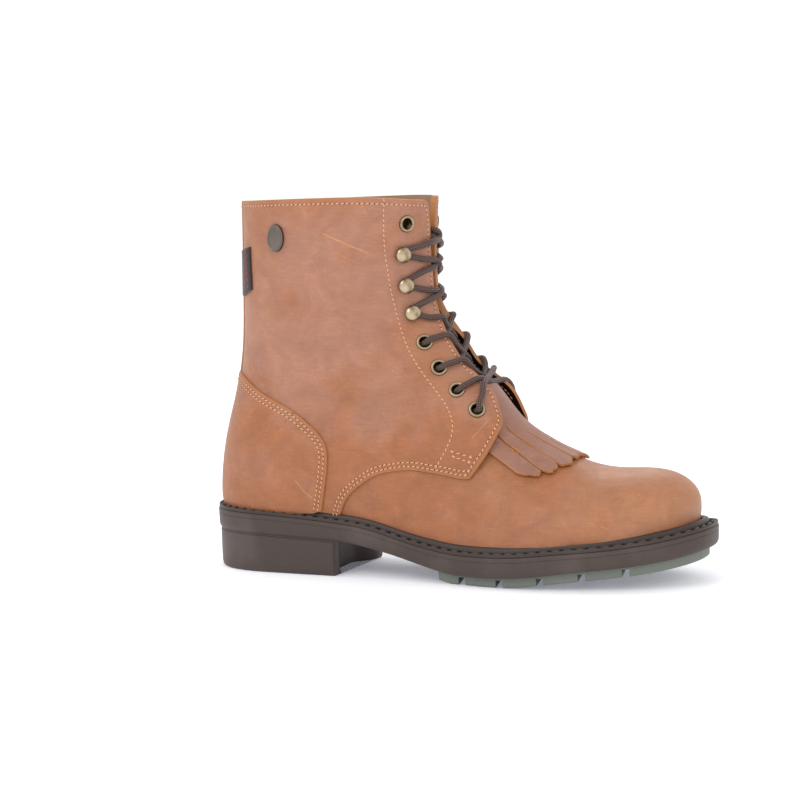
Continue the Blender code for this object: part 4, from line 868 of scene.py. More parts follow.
def kiltieStrip(i, side):
    # one strip of the fringe on one half, from its ragged tip to the kiltie's top
    k = kiltieSizes
    place = np.linspace(0, 1, k["columns"])
    teeth = 0.03 * np.sin(place * (11 + 2 * i) + 2.1 * i + side) + 0.02 * np.sin(place * 27 + i)
    first, middle, final = k["tips"][i]
    tip = first + (final - first) * place + (2 * middle - first - final) * 2 * place * (1 - place) + teeth
    tip = tip + 0.1 * np.abs(2 * place - 1) ** 6
    steps = closeSteps(k["steps"], 40, final=False)
    row = tip[None] + steps[:, None] * (k["top"] - tip[None])
    starts = (9.9,) + k["slitRows"]
    far, near = (np.interp(row, *np.array(k["lines"][j]).T) for j in (i, i + 1))
    gaps = [k["slit"] / 2 * ease(row, starts[j], starts[j] - 0.3) for j in (i, i + 1)]
    far, near = far - gaps[0] * (i > 0), near + gaps[1]
    across = far + (near - far) * place[None]
    share = ridgeShare(row, side, np.maximum(across, 0))
    loose = ease(row, 7.3, middle)
    outer = k["out"] + k["curl"][i] * loose + 0.3 * loose * (2 * place[None] - 1) ** 2
    face = skin(row, share, side, outer)
    free = gridEdges(face, ("u0",))
    for column, start in ((0, starts[i]), (-1, starts[i + 1])):
        cut = face[:, column][row[:, column] < start - 0.1]
        free += [cut] + [cut[:-1] + (cut[1:] - cut[:-1]) * part for part in (0.33, 0.67)]
    distance = edgeDistance(face, free)
    outer = skin(row, share, side, outer - roundOff(distance, 0.6))
    inner = skin(row, share, side, k["under"] + 0.8 * k["curl"][i] * loose)
    raw, none = 1 - ease(distance, 0.1, 0.42), np.zeros(row.shape)
    return {"outer": outer, "inner": inner, "flip": side > 0, "row": row, "values": {
        "edgeMm": (3 * distance, 3 * distance), "raw": (raw, raw), "lining": (none, none + 1),
        "facing": (none, none)}}


strip = shellObject("backStrip", [stripPatch()], material=leather)
tongue = shellObject("tongue", [tonguePatch()], material=leather)
kiltieStrips = [kiltieStrip(i, side) for side in (-1, 1) for i in range(4)]
kiltieTwins = []  # neighbours are welded above their slit, and the two halves at the front line
for first, second, columns in [(i, i + 1, (-1, 0)) for i in (0, 1, 2, 4, 5, 6)] + [(3, 7, (-1, -1))]:
    start = kiltieSizes["slitRows"][first % 4]
    count = min(int((kiltieStrips[n]["row"][:, c] > start).sum()) for n, c in zip((first, second), columns))
    kiltieTwins.append((first, second, (np.arange(-count, 0), columns[0]),
                        (np.arange(-count, 0), columns[1])))
kiltie = shellObject("kiltie", kiltieStrips, kiltieTwins, kiltieLeather)
for piece, node in ((strip, "back_strip"), (tongue, "tongue"), (kiltie, "kiltie")):
    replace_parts(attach(piece, "root"), node)
print("strip, tongue and kiltie ready")


# stitches: rows run along the panels' edges, made by one tree of Geometry Nodes
# the hole colour is painted shade in the needle holes
stitchLook = {"thread": "#D6A078", "hole": "#4A2414"}
stitchRows = {"pitch": 2.75, "thread": 0.72, "share": 0.86, "hole": 0.62, "plainHole": 0.3, "slant": 0.2}
eyestayLine = (  # x, z in the side view, collar to the quarter's lower edge
    (-25.2, 209.0), (-26.7, 184.0), (-26.0, 163.5), (-22.6, 142.2), (-16.7, 127.1), (-7.6, 113.7),
    (2.2, 101.8), (10.0, 91.8), (12.4, 85.4), (11.6, 77.6), (6.6, 67.4), (3.6, 62.0),
)
barTack = ((12.8, 70.7), (23.4, 67.9), (22.6, 65.2), (13.6, 68.0), (12.8, 70.7))

# waxed linen thread: pale, matt, a little fuzzy
threadFinish, _, _ = newFinish("waxedLinenThread", {
    "Base Color": stitchLook["thread"], "Roughness": 0.62, "Sheen Weight": 0.15})
# needle holes: painted shade, deep brown dots that stand for the dark inside the holes where the awl went
# through
holeShadeFinish, _, _ = newFinish("paintedNeedleHoleShade", {
    "Base Color": stitchLook["hole"], "Roughness": 0.9, "Specular IOR Level": 0.1})


def newTree(name, sockets):
    tree = bpy.data.node_groups.new(name, "GeometryNodeTree")
    tree.interface.new_socket("Geometry", in_out="INPUT", socket_type="NodeSocketGeometry")
    for label, kind in sockets.items():
        tree.interface.new_socket(label, in_out="INPUT", socket_type="NodeSocket" + kind)
    tree.interface.new_socket("Geometry", in_out="OUTPUT", socket_type="NodeSocketGeometry")
    return tree, addNode(tree, "NodeGroupInput").outputs


def makeStitchTree():
    tree, given = newTree("stitchRow",
                          {"Pitch": "Float", "Stitch": "Vector", "Hole": "Vector", "Slant": "Float",
                                        "Thread": "Material", "Pit": "Material"})
    curve = addNode(tree, "GeometryNodeMeshToCurve", {}, {"Mesh": given["Geometry"]})
    spots = addNode(tree, "GeometryNodeCurveToPoints", {"mode": "LENGTH"},
                    {"Curve": curve, "Length": given["Pitch"]})
    aim = addNode(tree, "GeometryNodeInputNamedAttribute", {"data_type": "FLOAT_VECTOR"}, {"Name": "aim"})
    frameTurn = addNode(tree, "FunctionNodeAxesToRotation", {"primary_axis": "X", "secondary_axis": "Z"},
                        {"Primary Axis": spots.outputs["Tangent"],
                         "Secondary Axis": aim.outputs["Attribute"]})
    slant = addNode(tree, "FunctionNodeAxisAngleToRotation", {},
                    {"Axis": (0.0, 0.0, 1.0), "Angle": given["Slant"]})
    turned = addNode(tree, "FunctionNodeRotateRotation", {"rotation_space": "LOCAL"},
                     {"Rotation": frameTurn, "Rotate By": slant})
    ball = addNode(tree, "GeometryNodeMeshUVSphere", {}, {"Segments": 8, "Rings": 5, "Radius": 0.5})
    smooth = addNode(tree, "GeometryNodeSetShadeSmooth", {}, {"Geometry": ball.outputs["Mesh"]})
    threads = addNode(tree, "GeometryNodeInstanceOnPoints", {}, {
        "Points": spots.outputs["Points"], "Instance": smooth, "Rotation": turned, "Scale": given["Stitch"]})
    threads = addNode(tree, "GeometryNodeRealizeInstances", {}, {"Geometry": threads})
    threads = addNode(tree, "GeometryNodeSetMaterial", {}, {"Geometry": threads, "Material": given["Thread"]})
    # dots between the stitches take the Pit material, which on the seams and the welt is painted shade of the
    # holes
    half = addNode(tree, "ShaderNodeMath", {"operation": "MULTIPLY"},
                   {"Value": given["Pitch"], "Value_001": 0.5})
    shift = addNode(tree, "ShaderNodeVectorMath", {"operation": "SCALE"},
                    {"Vector": spots.outputs["Tangent"], "Scale": half})
    between = addNode(tree, "GeometryNodeSetPosition", {},
                      {"Geometry": spots.outputs["Points"], "Offset": shift})
    dot = addNode(tree, "GeometryNodeMeshUVSphere", {}, {"Segments": 7, "Rings": 4, "Radius": 0.5})
    pits = addNode(tree, "GeometryNodeInstanceOnPoints", {}, {
        "Points": between, "Instance": dot.outputs["Mesh"], "Rotation": frameTurn, "Scale": given["Hole"]})
    pits = addNode(tree, "GeometryNodeRealizeInstances", {}, {"Geometry": pits})
    pits = addNode(tree, "GeometryNodeSetMaterial", {}, {"Geometry": pits, "Material": given["Pit"]})
    both = addNode(tree, "GeometryNodeJoinGeometry")
    for part in (threads, pits):
        tree.links.new(part.outputs[0], both.inputs[0])
    addNode(tree, "NodeGroupOutput", {}, {"Geometry": both})
    return tree


def treeMesh(name, mesh, tree, values):
    # runs a tree on a mesh once and keeps the result as a plain mesh
    carrier = bpy.data.objects.new(name + "Carrier", mesh)
    scene.collection.objects.link(carrier)
    modifier = carrier.modifiers.new("rows", "NODES")
    modifier.node_group = tree
    for item in tree.interface.items_tree:
        if item.in_out == "INPUT" and item.name in values:
            modifier[item.identifier] = values[item.name]
    made = bpy.data.meshes.new_from_object(carrier.evaluated_get(bpy.context.evaluated_depsgraph_get()))
    made.transform(Matrix.Translation((0.0, 0.0, floorDrop * mm)))
    bpy.data.objects.remove(carrier)
    piece = bpy.data.objects.new(name, made)
    scene.collection.objects.link(piece)
    return piece


def pathMesh(name, lines):
    # edges through every line of points, each point with the direction that faces outwards
    mesh = bpy.data.meshes.new(name)
    edges, start = [], 0
    for points, _ in lines:
        edges += [(start + i, start + i + 1) for i in range(len(points) - 1)]
        start += len(points)
    mesh.from_pydata((np.concatenate([p for p, _ in lines]) * mm).tolist(), edges, [])
    setAttribute(mesh, "aim", np.concatenate([a for _, a in lines]))
    return mesh


def insetLine(row, share, side, out, edge, inset, others=()):
    # a line at a distance from one edge of a grid, kept as far from the other edges that are named
    face = skin(row, share, side, out)
    names = [edge] + [name for name, _ in others]
    fields = [row, share] + [edgeDistance(face, gridEdges(face, (name,))) for name in names]
    if edge[0] == "v":
        fields = [f.T for f in fields]
    if edge[1] == "1":
        fields = [f[::-1] for f in fields]
    near = [f[:40] for f in fields]  # the grid's steps next to that edge
    found = np.array([[np.interp(inset, near[2][:, j], f[:, j]) for f in near]
                      for j in range(near[0].shape[1])])
    keep = np.ones(len(found), bool)
    for i, (_, apart) in enumerate(others):
        keep &= found[:, 3 + i] >= apart
    return found[keep, :2]


def insetEdge(points, inset):
    # a line drawn in the side view, moved sideways to the right of its run
    fine = sideCurve(points, 40)
    ahead = unit(np.gradient(fine, axis=0))
    return fine + inset * np.stack([ahead[:, 1], -ahead[:, 0]], -1)


def sewn(line, side, out, below=0.0):
    # places of a row of stitches, a little proud of the leather, or below it on the other face
    row, share = line[:, 0], line[:, 1]
    around = bootRelief(lastPoint(row, share, side))
    normal = lastNormal(row, share, side) * (-1 if below else 1)
    return skin(row, share, side, out(row, share, side) + around + 0.1 - below), normal


def sewRows(name, lines, pitch, stitch, hole, slant, thread, pit):
    # stitches and holes along every line; both have a length, a width and a height
    return treeMesh(name, pathMesh(name + "Paths", lines), stitchTree, {
        "Pitch": pitch * mm, "Stitch": [v * mm for v in stitch], "Hole": [v * mm for v in hole],
        "Slant": slant, "Thread": thread, "Pit": pit})


seams = []
overlayRows = (2.2, 4.6)  # stitches on counter and strip, from the edge
for side, (row, share) in ((-1, quarterSpots), (1, medialSpots)):
    high = quarterOut(row, share, side)
    for inset in (2.1, 4.3):
        line = insetLine(row, share, side, high, "u0", inset, (("v1", 2.9),))
        seams.append(sewn(line, side, quarterOut))
    line = insetLine(row, share, side, high, "v1", 2.9, (("u0", 2.1), ("u1", 3.1)))
    across = insetLine(row, share, side, high, "u1", 3.1, (("v1", 2.9),))[::-1]
    across = across[across[:, 1] > seamShare(across[:, 0], -1, stripSizes["halfWidth"] + 0.6)]
    seams.append(sewn(soften(np.concatenate([line, across]), 1), side, quarterOut))
    seams.append(sewn(line[line[:, 0] > 8.8], side, quarterOut, 3.9))
plainLines = [sideLine(eyestayLine, quarterOut)]
plainLines += [sideLine(np.linspace(a, b, 4), quarterOut, count=12)
               for a, b in zip(barTack[:-1], barTack[1:])]
plainSeams = [sewn(line, side, quarterOut) for line in plainLines for side in (-1, 1)]
for inset in overlayRows:
    for side in (-1, 1):
        line = sideLine(insetEdge(counterEdge, inset), counterOut)
        line = line[line[:, 1] > beadShare(line[:, 0], side) + 0.004]
        seams.append(sewn(line, side, counterOut))
stripRows = np.linspace(16.9, 20.93, 90)
for inset in overlayRows:
    for side in (-1, 1):
        away = seamShare(stripRows, side, stripSizes["halfWidth"] - inset)
        seams.append(sewn(np.stack([stripRows, away], -1), side, stripOut))
stripTop = np.full(20, 20.88)
for side in (-1, 1):
    away = seamShare(stripTop, side, np.linspace(0, stripSizes["halfWidth"] - overlayRows[0], 20))
    seams.append(sewn(np.stack([stripTop, away], -1), side, stripOut))
stitchTree = makeStitchTree()
pitch, thread = stitchRows["pitch"], stitchRows["thread"]
for name, lines, hole in (("seamStitches", seams, "hole"), ("eyestayStitches", plainSeams, "plainHole")):
    stitches = sewRows(name, lines, pitch, (pitch * stitchRows["share"], thread, 0.6 * thread),
                       (stitchRows[hole], stitchRows[hole], 0.34), stitchRows["slant"], threadFinish,
                       holeShadeFinish)
    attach(stitches, "root")
    print(name, len(stitches.data.polygons))


# brass eyelets and ball hooks, set by one tree on points with an outward and an edgeward direction
brassLook = {"bright": "#C2B396", "dark": "#6B512A", "mottleMm": 2.2}
eyeletProfile = ((4.75, -0.2), (4.75, 0.25), (4.55, 0.7), (4.15, 0.98), (3.7, 1.02), (3.3, 0.82), (2.98, 0.4),
                 (2.82, -0.3), (2.75, -1.6), (2.75, -3.6), (3.2, -3.7))
hookProfile = ((0.3, 5.5), (1.3, 5.42), (2.5, 5.1), (3.5, 4.6), (4.2, 3.95), (4.5, 3.3), (4.4, 2.8),
               (3.8, 2.5), (2.2, 2.3), (1.2, 2.15), (1.1, 1.7), (1.2, 1.2), (2.6, 0.9), (3.7, 0.75),
               (4.1, 0.4), (4.1, -0.2))


def makeBrass(look):
    # aged brass: pale where hands polish it, brown in its hollows, half glossy; the dark stripe on the hooks
    # is a painted reflection
    material, tree, shader = newFinish("agedBrass", {"Metallic": 1.0, "Roughness": 0.34})
    place = addNode(tree, "ShaderNodeTexCoord").outputs["Object"]
    mottle = addNode(tree, "ShaderNodeTexNoise", {},
                     {"Vector": place, "Scale": perMm(look["mottleMm"]), "Detail": 4.0})
    worn = addNode(tree, "ShaderNodeAttribute", {"attribute_name": "worn"}).outputs["Fac"]
    part = addNode(tree, "ShaderNodeMath", {"operation": "MULTIPLY_ADD", "use_clamp": True},
                   {"Value": mottle, "Value_001": 0.5, "Value_002": worn})
    tone = addNode(tree, "ShaderNodeMix", {"data_type": "RGBA"},
                   {"Factor_Float": part, "A_Color": linearColour(look["dark"]),
                    "B_Color": linearColour(look["bright"])})
    gloss = addNode(tree, "ShaderNodeMapRange", {}, {
        "Value": mottle, "From Min": 0.3, "From Max": 0.7, "To Min": 0.26, "To Max": 0.44})
    feed(tree, shader, {"Base Color": tone, "Roughness": gloss})
    return material


def ringIndex(count, around):  # numbers of the points on a stack of rings, and of the next ones round
    index = np.arange(count * around).reshape(count, around)
    return index, np.roll(index, -1, axis=1)


def latheMesh(name, profile, worn, turns=40, ring=False):
    # turned about Z, outside first; a ring closes on itself and a stud has flat ends
    radius, height = np.array(profile, float).T
    angle = np.linspace(0, 2 * np.pi, turns, endpoint=False)
    radius, height = radius[:, None], height[:, None]
    points = np.stack([radius * np.cos(angle), radius * np.sin(angle), height + 0 * angle], -1)
    index, after = ringIndex(len(radius), turns)
    faces = np.stack([index[:-1], index[1:], after[1:], after[:-1]], -1).reshape(-1, 4).tolist()
    if ring:
        faces += np.stack([index[-1], index[0], after[0], after[-1]], -1).tolist()
    else:
        faces += [index[0].tolist(), index[-1, ::-1].tolist()]
    mesh = bpy.data.meshes.new(name)
    mesh.from_pydata((points.reshape(-1, 3) * mm).tolist(), [], faces)
    paintedReflectionStripe = np.exp(-((points[..., 0] - 0.7) / 1.4) ** 2) * (height > 2.6)  # painted reflection: a dark stripe down the hook's dome, where a dark reflection falls between its bright sides
    setAttribute(mesh, "worn", (np.asarray(worn, float)[:, None] - 0.6 * paintedReflectionStripe).ravel())
    mesh.shade_smooth()
    return mesh


def makeStudTree():
    tree, given = newTree("studs", {"Shape": "Object", "Metal": "Material"})
    aim, run = (addNode(tree, "GeometryNodeInputNamedAttribute", {"data_type": "FLOAT_VECTOR"},
                        {"Name": name}).outputs["Attribute"]
                for name in ("aim", "run"))
    turn = addNode(tree, "FunctionNodeAxesToRotation", {"primary_axis": "Z", "secondary_axis": "X"},
                   {"Primary Axis": aim, "Secondary Axis": run})
    shape = addNode(tree, "GeometryNodeObjectInfo", {}, {"Object": given["Shape"]})
    copies = addNode(tree, "GeometryNodeInstanceOnPoints", {}, {
        "Points": given["Geometry"], "Instance": shape.outputs["Geometry"], "Rotation": turn})
    copies = addNode(tree, "GeometryNodeRealizeInstances", {}, {"Geometry": copies})
    copies = addNode(tree, "GeometryNodeSetMaterial", {}, {"Geometry": copies, "Material": given["Metal"]})
    addNode(tree, "NodeGroupOutput", {}, {"Geometry": copies})
    return tree


def setStuds(name, shape, spots, nodes, metal):
    mesh = bpy.data.meshes.new(name + "Spots")
    mesh.from_pydata([tuple(p * mm) for p, _, _ in spots], [], [])
    for label, k in (("aim", 1), ("run", 2)):
        setAttribute(mesh, label, np.array([s[k] for s in spots]))
    master = bpy.data.objects.new(name + "Shape", shape)
    scene.collection.objects.link(master)
    piece = treeMesh(name, mesh, studTree, {"Shape": master, "Metal": metal})
    bpy.data.objects.remove(master)
    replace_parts(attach(piece, "root"), *nodes)


brass = makeBrass(brassLook)
studTree = makeStudTree()
eyeletWorn = (-0.3, -0.2, 0.0, 0.3, 0.3, 0.2, 0.0, -0.25, -0.3, -0.3, -0.3)
hookWorn = (0.75, 0.7, 0.65, 0.6, 0.5, 0.4, 0.2, 0.0, -0.1, -0.2, -0.2, 0.0, 0.2, 0.3, 0.3, 0.2)
sides = (("lateral", -1), ("medial", 1))
hookShift = {-1: 0.0, 1: 2.2}  # the inner side's hooks sit farther from the edge
setStuds("eyeletRings", latheMesh("eyeletRing", eyeletProfile, eyeletWorn, ring=True),
         [facingSpot(h, s, away, 0.0) for _, s in sides for h, away in eyelets],
         [f"eyelet_{n}_{i + 1}" for n, _ in sides for i in range(len(eyelets))], brass)
setStuds("ballHooks", latheMesh("ballHook", hookProfile, hookWorn),
         [facingSpot(h, s, away + hookShift[s], 0.0) for _, s in sides for h, away in hooks],
         [f"hook_{n}_{i + 1}" for n, _ in sides for i in range(len(hooks))], brass)
print("eyelets and hooks ready")


# one braided lace: out of the lowest eyelets, over the throat, through the eyelets and round the hooks
laceLook = {"dark": "#241816", "light": "#6B5047", "strands": 4, "turnMm": 7.6}
laceSizes = {"radius": 1.7, "step": 0.5, "around": 14, "over": 1.7, "under": -5.6, "neck": 2.7,
             "neckHeight": 1.75, "arch": {-1: 1.2, 1: 2.8},  # over an edge, by the side that it comes from
             # heights along the lowest crossing
             "lowHeights": {-1: (99.6, 105.0, 108.4, 111.0, 107.5), 1: (97.0, 103.5, 108.0, 108.5, 106.5)}}


def makeLaceFinish(look):
    # waxed cotton braid: dark brown; the strands' tops are a lighter painted sheen and the grooves between
    # them a darker painted shade
    material, tree, shader = newFinish("waxedCottonBraid", {
        "Roughness": 0.55, "Specular IOR Level": 0.35, "Sheen Weight": 0.12})
    split = addNode(tree, "ShaderNodeSeparateXYZ", {},
                    {"Vector": addNode(tree, "ShaderNodeUVMap", {"uv_map": "braid"})})
    waves = []
    for operation in ("ADD", "SUBTRACT"):
        phase = addNode(tree, "ShaderNodeMath", {"operation": operation},
                        {"Value": split.outputs["X"], "Value_001": split.outputs["Y"]})
        turn = addNode(tree, "ShaderNodeMath", {"operation": "MULTIPLY"},
                       {"Value": phase, "Value_001": 2 * math.pi})
        waves.append(addNode(tree, "ShaderNodeMath", {"operation": "SINE"}, {"Value": turn}))
    height = addNode(tree, "ShaderNodeMath", {"operation": "MULTIPLY"},
                     {"Value": waves[0], "Value_001": waves[1]})
    part = addNode(tree, "ShaderNodeMapRange", {}, {"Value": height, "From Min": -0.7, "From Max": 0.9})
    tone = addNode(tree, "ShaderNodeMix", {"data_type": "RGBA"},
                   {"Factor_Float": part, "A_Color": linearColour(look["dark"]),
                    "B_Color": linearColour(look["light"])})
    bump = addNode(tree, "ShaderNodeBump", {}, {"Strength": 0.8, "Distance": 0.3 * mm, "Height": part})
    feed(tree, shader, {"Base Color": tone, "Normal": bump})
    return material


def facingPoints(*spots):
    return [facingSpot(*spot)[0] for spot in spots]


def hookTurn(height, side, away):  # round the neck of a hook, from below
    spot, normal, ahead = facingSpot(height, side, away, laceSizes["neckHeight"])
    up = unit(side * np.cross(ahead, normal))
    up = up if up[2] > 0 else -up
    return [spot + laceSizes["neck"] * (math.cos(a) * ahead + math.sin(a) * up)
            for a in np.radians((-62, -115, 180, 115, 62))]


def overStrand(first, second, rise, heights=None):
    # over both edges, from a fastening (height, side, distance) to the one across
    (h1, s1, a1), (h2, s2, a2) = first, second
    over = laceSizes["over"]
    # climbs early
    heights = heights or [h1 + (h2 - h1) * part**0.4 for part in (0.13, 0.28, 0.5, 0.72, 0.87)]
    edge = over + 0.4 * max(rise, 0.0)
    points = facingPoints((heights[0], s1, a1 * 0.5, over), (heights[1], s1, 0.6, edge))
    beyond = facingPoints((heights[3], s2, 0.6, edge), (heights[4], s2, a2 * 0.5, over))
    ahead = facingSpot(heights[2], s1, 0.0, 0.0)[1] * np.array((1, 0, 1))
    return points + [(points[1] + beyond[0]) / 2 + ahead * rise] + beyond


def underStrand(first, second, arch):
    # from inside one facing, up through the throat and over the edge of the other
    (h1, s1, a1), (h2, s2, a2) = first, second
    low, high = (h1 + (h2 - h1) * part for part in (0.12, 0.3))
    under, over = laceSizes["under"], laceSizes["over"]
    return facingPoints(
        (low, s1, a1 * 0.55, under), (high, s1, 0.5, under + 0.3), (h2 - 1.0, s2, -2.4, -2.0),
        (h2 + arch, s2, 0.5, over), (h2 + 0.8 * arch, s2, a2 * 0.45, over))


def throughEyelet(height, side, away, inward, lean=(1.0, 2.2)):
    points = facingPoints((height + lean[0], side, away - lean[1], 2.2), (height, side, away - 0.5, 0.4),
                          (height, side, away + 0.3, -3.6))
    return points if inward else points[::-1]


def laceRoute(start, rise):
    # one half of the lace, from its lowest eyelet up to its tucked end
    side = start
    marks = eyelets[:4] + hooks
    h, away = marks[0]
    route = facingPoints((h + 1.5, side, 1.2, -10.0), (h + 0.5, side, away - 3.8, -6.6))
    route += throughEyelet(h, side, away, False, (2.4, 1.3))
    route += overStrand((h, side, away), (marks[1][0], -side, marks[1][1]), rise,
                        laceSizes["lowHeights"][side])
    for i in range(1, 4):
        side = -side
        (h, away), (nextHeight, nextAway) = marks[i:i + 2]
        route += throughEyelet(h, side, away, True)
        if i == 3:  # the next one is a hook, and the lace comes to it from below
            route += underStrand((h, side, away), (nextHeight - 3.0, -side, nextAway + hookShift[-side]), 0.0)
        else:
            route += underStrand((h, side, away), (nextHeight, -side, nextAway), laceSizes["arch"][side])
    for i in range(4, 7):
        side = -side
        h, away = marks[i]
        route += hookTurn(h, side, away + hookShift[side])
        if i < 6:
            nextHeight, nextAway = marks[i + 1]
            route += overStrand((h + 2.4, side, away - 2.0), (nextHeight - 2.4, -side, nextAway - 2.0), rise)
    ends = ((4.6, side, away * 0.5, 2.2), (7.0, side, 1.0, 2.4 + 0.4 * rise))  # height over the last hook
    if start < 0:
        ends += ((8.4, -side, 0.6, 2.0), (11.0, -side, 1.4, 1.7), (12.6, -side, -0.8, 0.4),
                 (13.0, -side, -1.6, -3.2))
    else:
        ends += ((8.2, side, -1.6, 0.4), (8.8, -side, -1.2, -2.4), (9.0, -side, 1.0, -5.4))
    return route + facingPoints(*[(h + up, *spot) for up, *spot in ends])


def smoothPath(points, step):
    points = np.array(points)
    run = np.concatenate([[0], np.cumsum(np.sqrt(np.linalg.norm(np.diff(points, axis=0), axis=1)))])
    curves = [smoothCurve(run, points[:, k]) for k in range(3)]
    fine = np.stack([c(np.linspace(0, run[-1], 4000)) for c in curves], -1)
    length = runAlong(fine)
    at = np.linspace(0, length[-1], int(length[-1] / step) + 1)
    return np.stack([np.interp(at, length, fine[:, k]) for k in range(3)], -1), at


def tubeMesh(name, path, at, radius, around, look):
    tangent = unit(np.gradient(path, axis=0))
    side = np.zeros_like(path)
    side[0] = unit(np.cross(tangent[0], (0.0, 0.0, 1.0)))
    for i in range(1, len(path)):  # carries the ring along without twisting it
        side[i] = unit(side[i - 1] - tangent[i] * np.dot(side[i - 1], tangent[i]))
    other = np.cross(tangent, side)
    angle = np.linspace(0, 2 * np.pi, around, endpoint=False)
    taper = np.minimum(1, np.minimum(np.arange(len(path)), np.arange(len(path))[::-1]) / 2.0 + 0.02)
    outward = np.cos(angle)[:, None] * side[:, None] + np.sin(angle)[:, None] * other[:, None]
    rings = path[:, None] + radius * taper[:, None, None] * outward
    index, after = ringIndex(len(path), around)
    faces = np.stack([index[:-1], after[:-1], after[1:], index[1:]], -1).reshape(-1, 4)
    faces = faces.tolist() + [index[0, ::-1].tolist(), index[-1].tolist()]
    mesh = bpy.data.meshes.new(name)
    mesh.from_pydata((rings.reshape(-1, 3) * mm).tolist(), [], faces)
    around01 = np.arange(around + 1) / around * look["strands"]
    u = np.stack([around01[:-1], around01[1:], around01[1:], around01[:-1]], -1)
    v = at / look["turnMm"] * look["strands"]
    v = np.stack([v[:-1], v[:-1], v[1:], v[1:]], -1)
    uv = np.stack(np.broadcast_arrays(u[None], v[:, None]), -1)
    uv = np.concatenate([uv.reshape(-1, 2), np.zeros((2 * around, 2))])  # the two ends are plain
    mesh.uv_layers.new(name="braid").data.foreach_set("uv", uv.astype(np.float32).ravel())
    return mesh


lowBar = facingPoints(*[(eyelets[0][0] + 2.0, s, -5.0, -13.0) for s in (-1, 1)])
laceWay = laceRoute(-1, 1.0)[::-1] + lowBar + laceRoute(1, -1.3)
lacePath, laceAt = smoothPath(laceWay, laceSizes["step"])
laceMesh = tubeMesh("lace", lacePath, laceAt, laceSizes["radius"], laceSizes["around"], laceLook)
lace = addPiece("bootLace", laceMesh, makeLaceFinish(laceLook))
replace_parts(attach(lace, "root"), *[f"lace_cross_{i}" for i in range(1, 8)])
print("lace, modelled length in mm", round(float(laceAt[-1])))


# rubber unit sole, heel block and storm welt, lofted round the sole's outline
rubberLook = {"side": "#433833", "dust": "#746862", "speckMm": 0.8, "cloudMm": 30.0}
weltLook = {"side": "#3A2F2B", "dust": "#5E524C", "fleck": "#A5774B", "fleckFrom": 0.72}
soleLevels = (  # inset, part of the way from under to top, height from there
    (2.8, 0, 0.0), (1.5, 0, 0.25), (0.75, 0, 0.9), (0.3, 0, 1.9), (0.1, 0, 3.2), (0.0, 1, -3.6),
    (0.05, 1, -3.3), (0.22, 1, -3.1), (0.22, 1, -2.95), (-0.05, 1, -2.7), (-0.1, 1, -2.0),
    (-0.05, 1, -1.2), (0.15, 1, -0.6), (0.6, 1, -0.15), (1.3, 1, 0.0),
)
# inset, height above the floor
heelLevels = ((4.0, 0.0), (2.6, 0.15), (1.9, 0.6), (1.4, 1.4), (1.15, 3.0), (1.0, 8.0))
weltLevels = (  # part of the bead's inset, inset from there, height above the sole
    (1, 1.2, 0.2), (1, 1.2, 3.9), (1, 0.7, 4.6), (1, -0.1, 4.95), (1, -1.0, 4.9), (1, -1.8, 4.5),
    (1, -2.4, 3.8), (1, -2.75, 2.9), (1, -2.95, 1.9), (1, -3.1, 1.0), (1, -3.5, 0.75),
    (0, 1.55, 0.8), (0, 1.2, 1.3), (0, 0.95, 1.75), (0, 0.6, 1.8), (0, 0.35, 1.5), (0, 0.3, 0.1),
)
heelCeiling = ((0.95, 2.2), (0.95, 0.9), (1.5, 0.5), (1.6, -0.6))  # inset, depth under the sole
heelBreast = -61.5
heelHollow = {"depth": 9.0, "span": 0.1}


def makeRubber(name, look, bump, rough):
    # moulded rubber: dull, with fine dust and faint clouds
    material, tree, shader = newFinish(name, {"Roughness": rough, "Specular IOR Level": 0.35})
    place = addNode(tree, "ShaderNodeTexCoord").outputs["Object"]
    cloud = addNode(tree, "ShaderNodeTexNoise", {},
                    {"Vector": place, "Scale": perMm(look["cloudMm"]), "Detail": 4.0})
    speck = addNode(tree, "ShaderNodeTexNoise", {},
                    {"Vector": place, "Scale": perMm(look["speckMm"]), "Detail": 3.0})
    dust = addNode(tree, "ShaderNodeMapRange", {"interpolation_type": "SMOOTHSTEP"},
                   {"Value": cloud, "From Min": 0.45, "From Max": 0.75, "To Max": 0.22})
    tone = addNode(tree, "ShaderNodeMix", {"data_type": "RGBA"},
                   {"Factor_Float": dust, "A_Color": linearColour(look["side"]),
                    "B_Color": linearColour(look["dust"])})
    fleck = addNode(tree, "ShaderNodeMapRange", {},
                    {"Value": speck, "From Min": look.get("fleckFrom", 0.74), "From Max": 0.8, "To Max": 0.6})
    tone = addNode(tree, "ShaderNodeMix", {"data_type": "RGBA"},
                   {"Factor_Float": fleck, "A_Color": tone,
                    "B_Color": linearColour(look.get("fleck", look["dust"]))})
    relief = addNode(tree, "ShaderNodeBump", {}, {"Strength": bump, "Distance": 0.15 * mm, "Height": speck})
    feed(tree, shader, {"Base Color": tone, "Normal": relief})
    return material


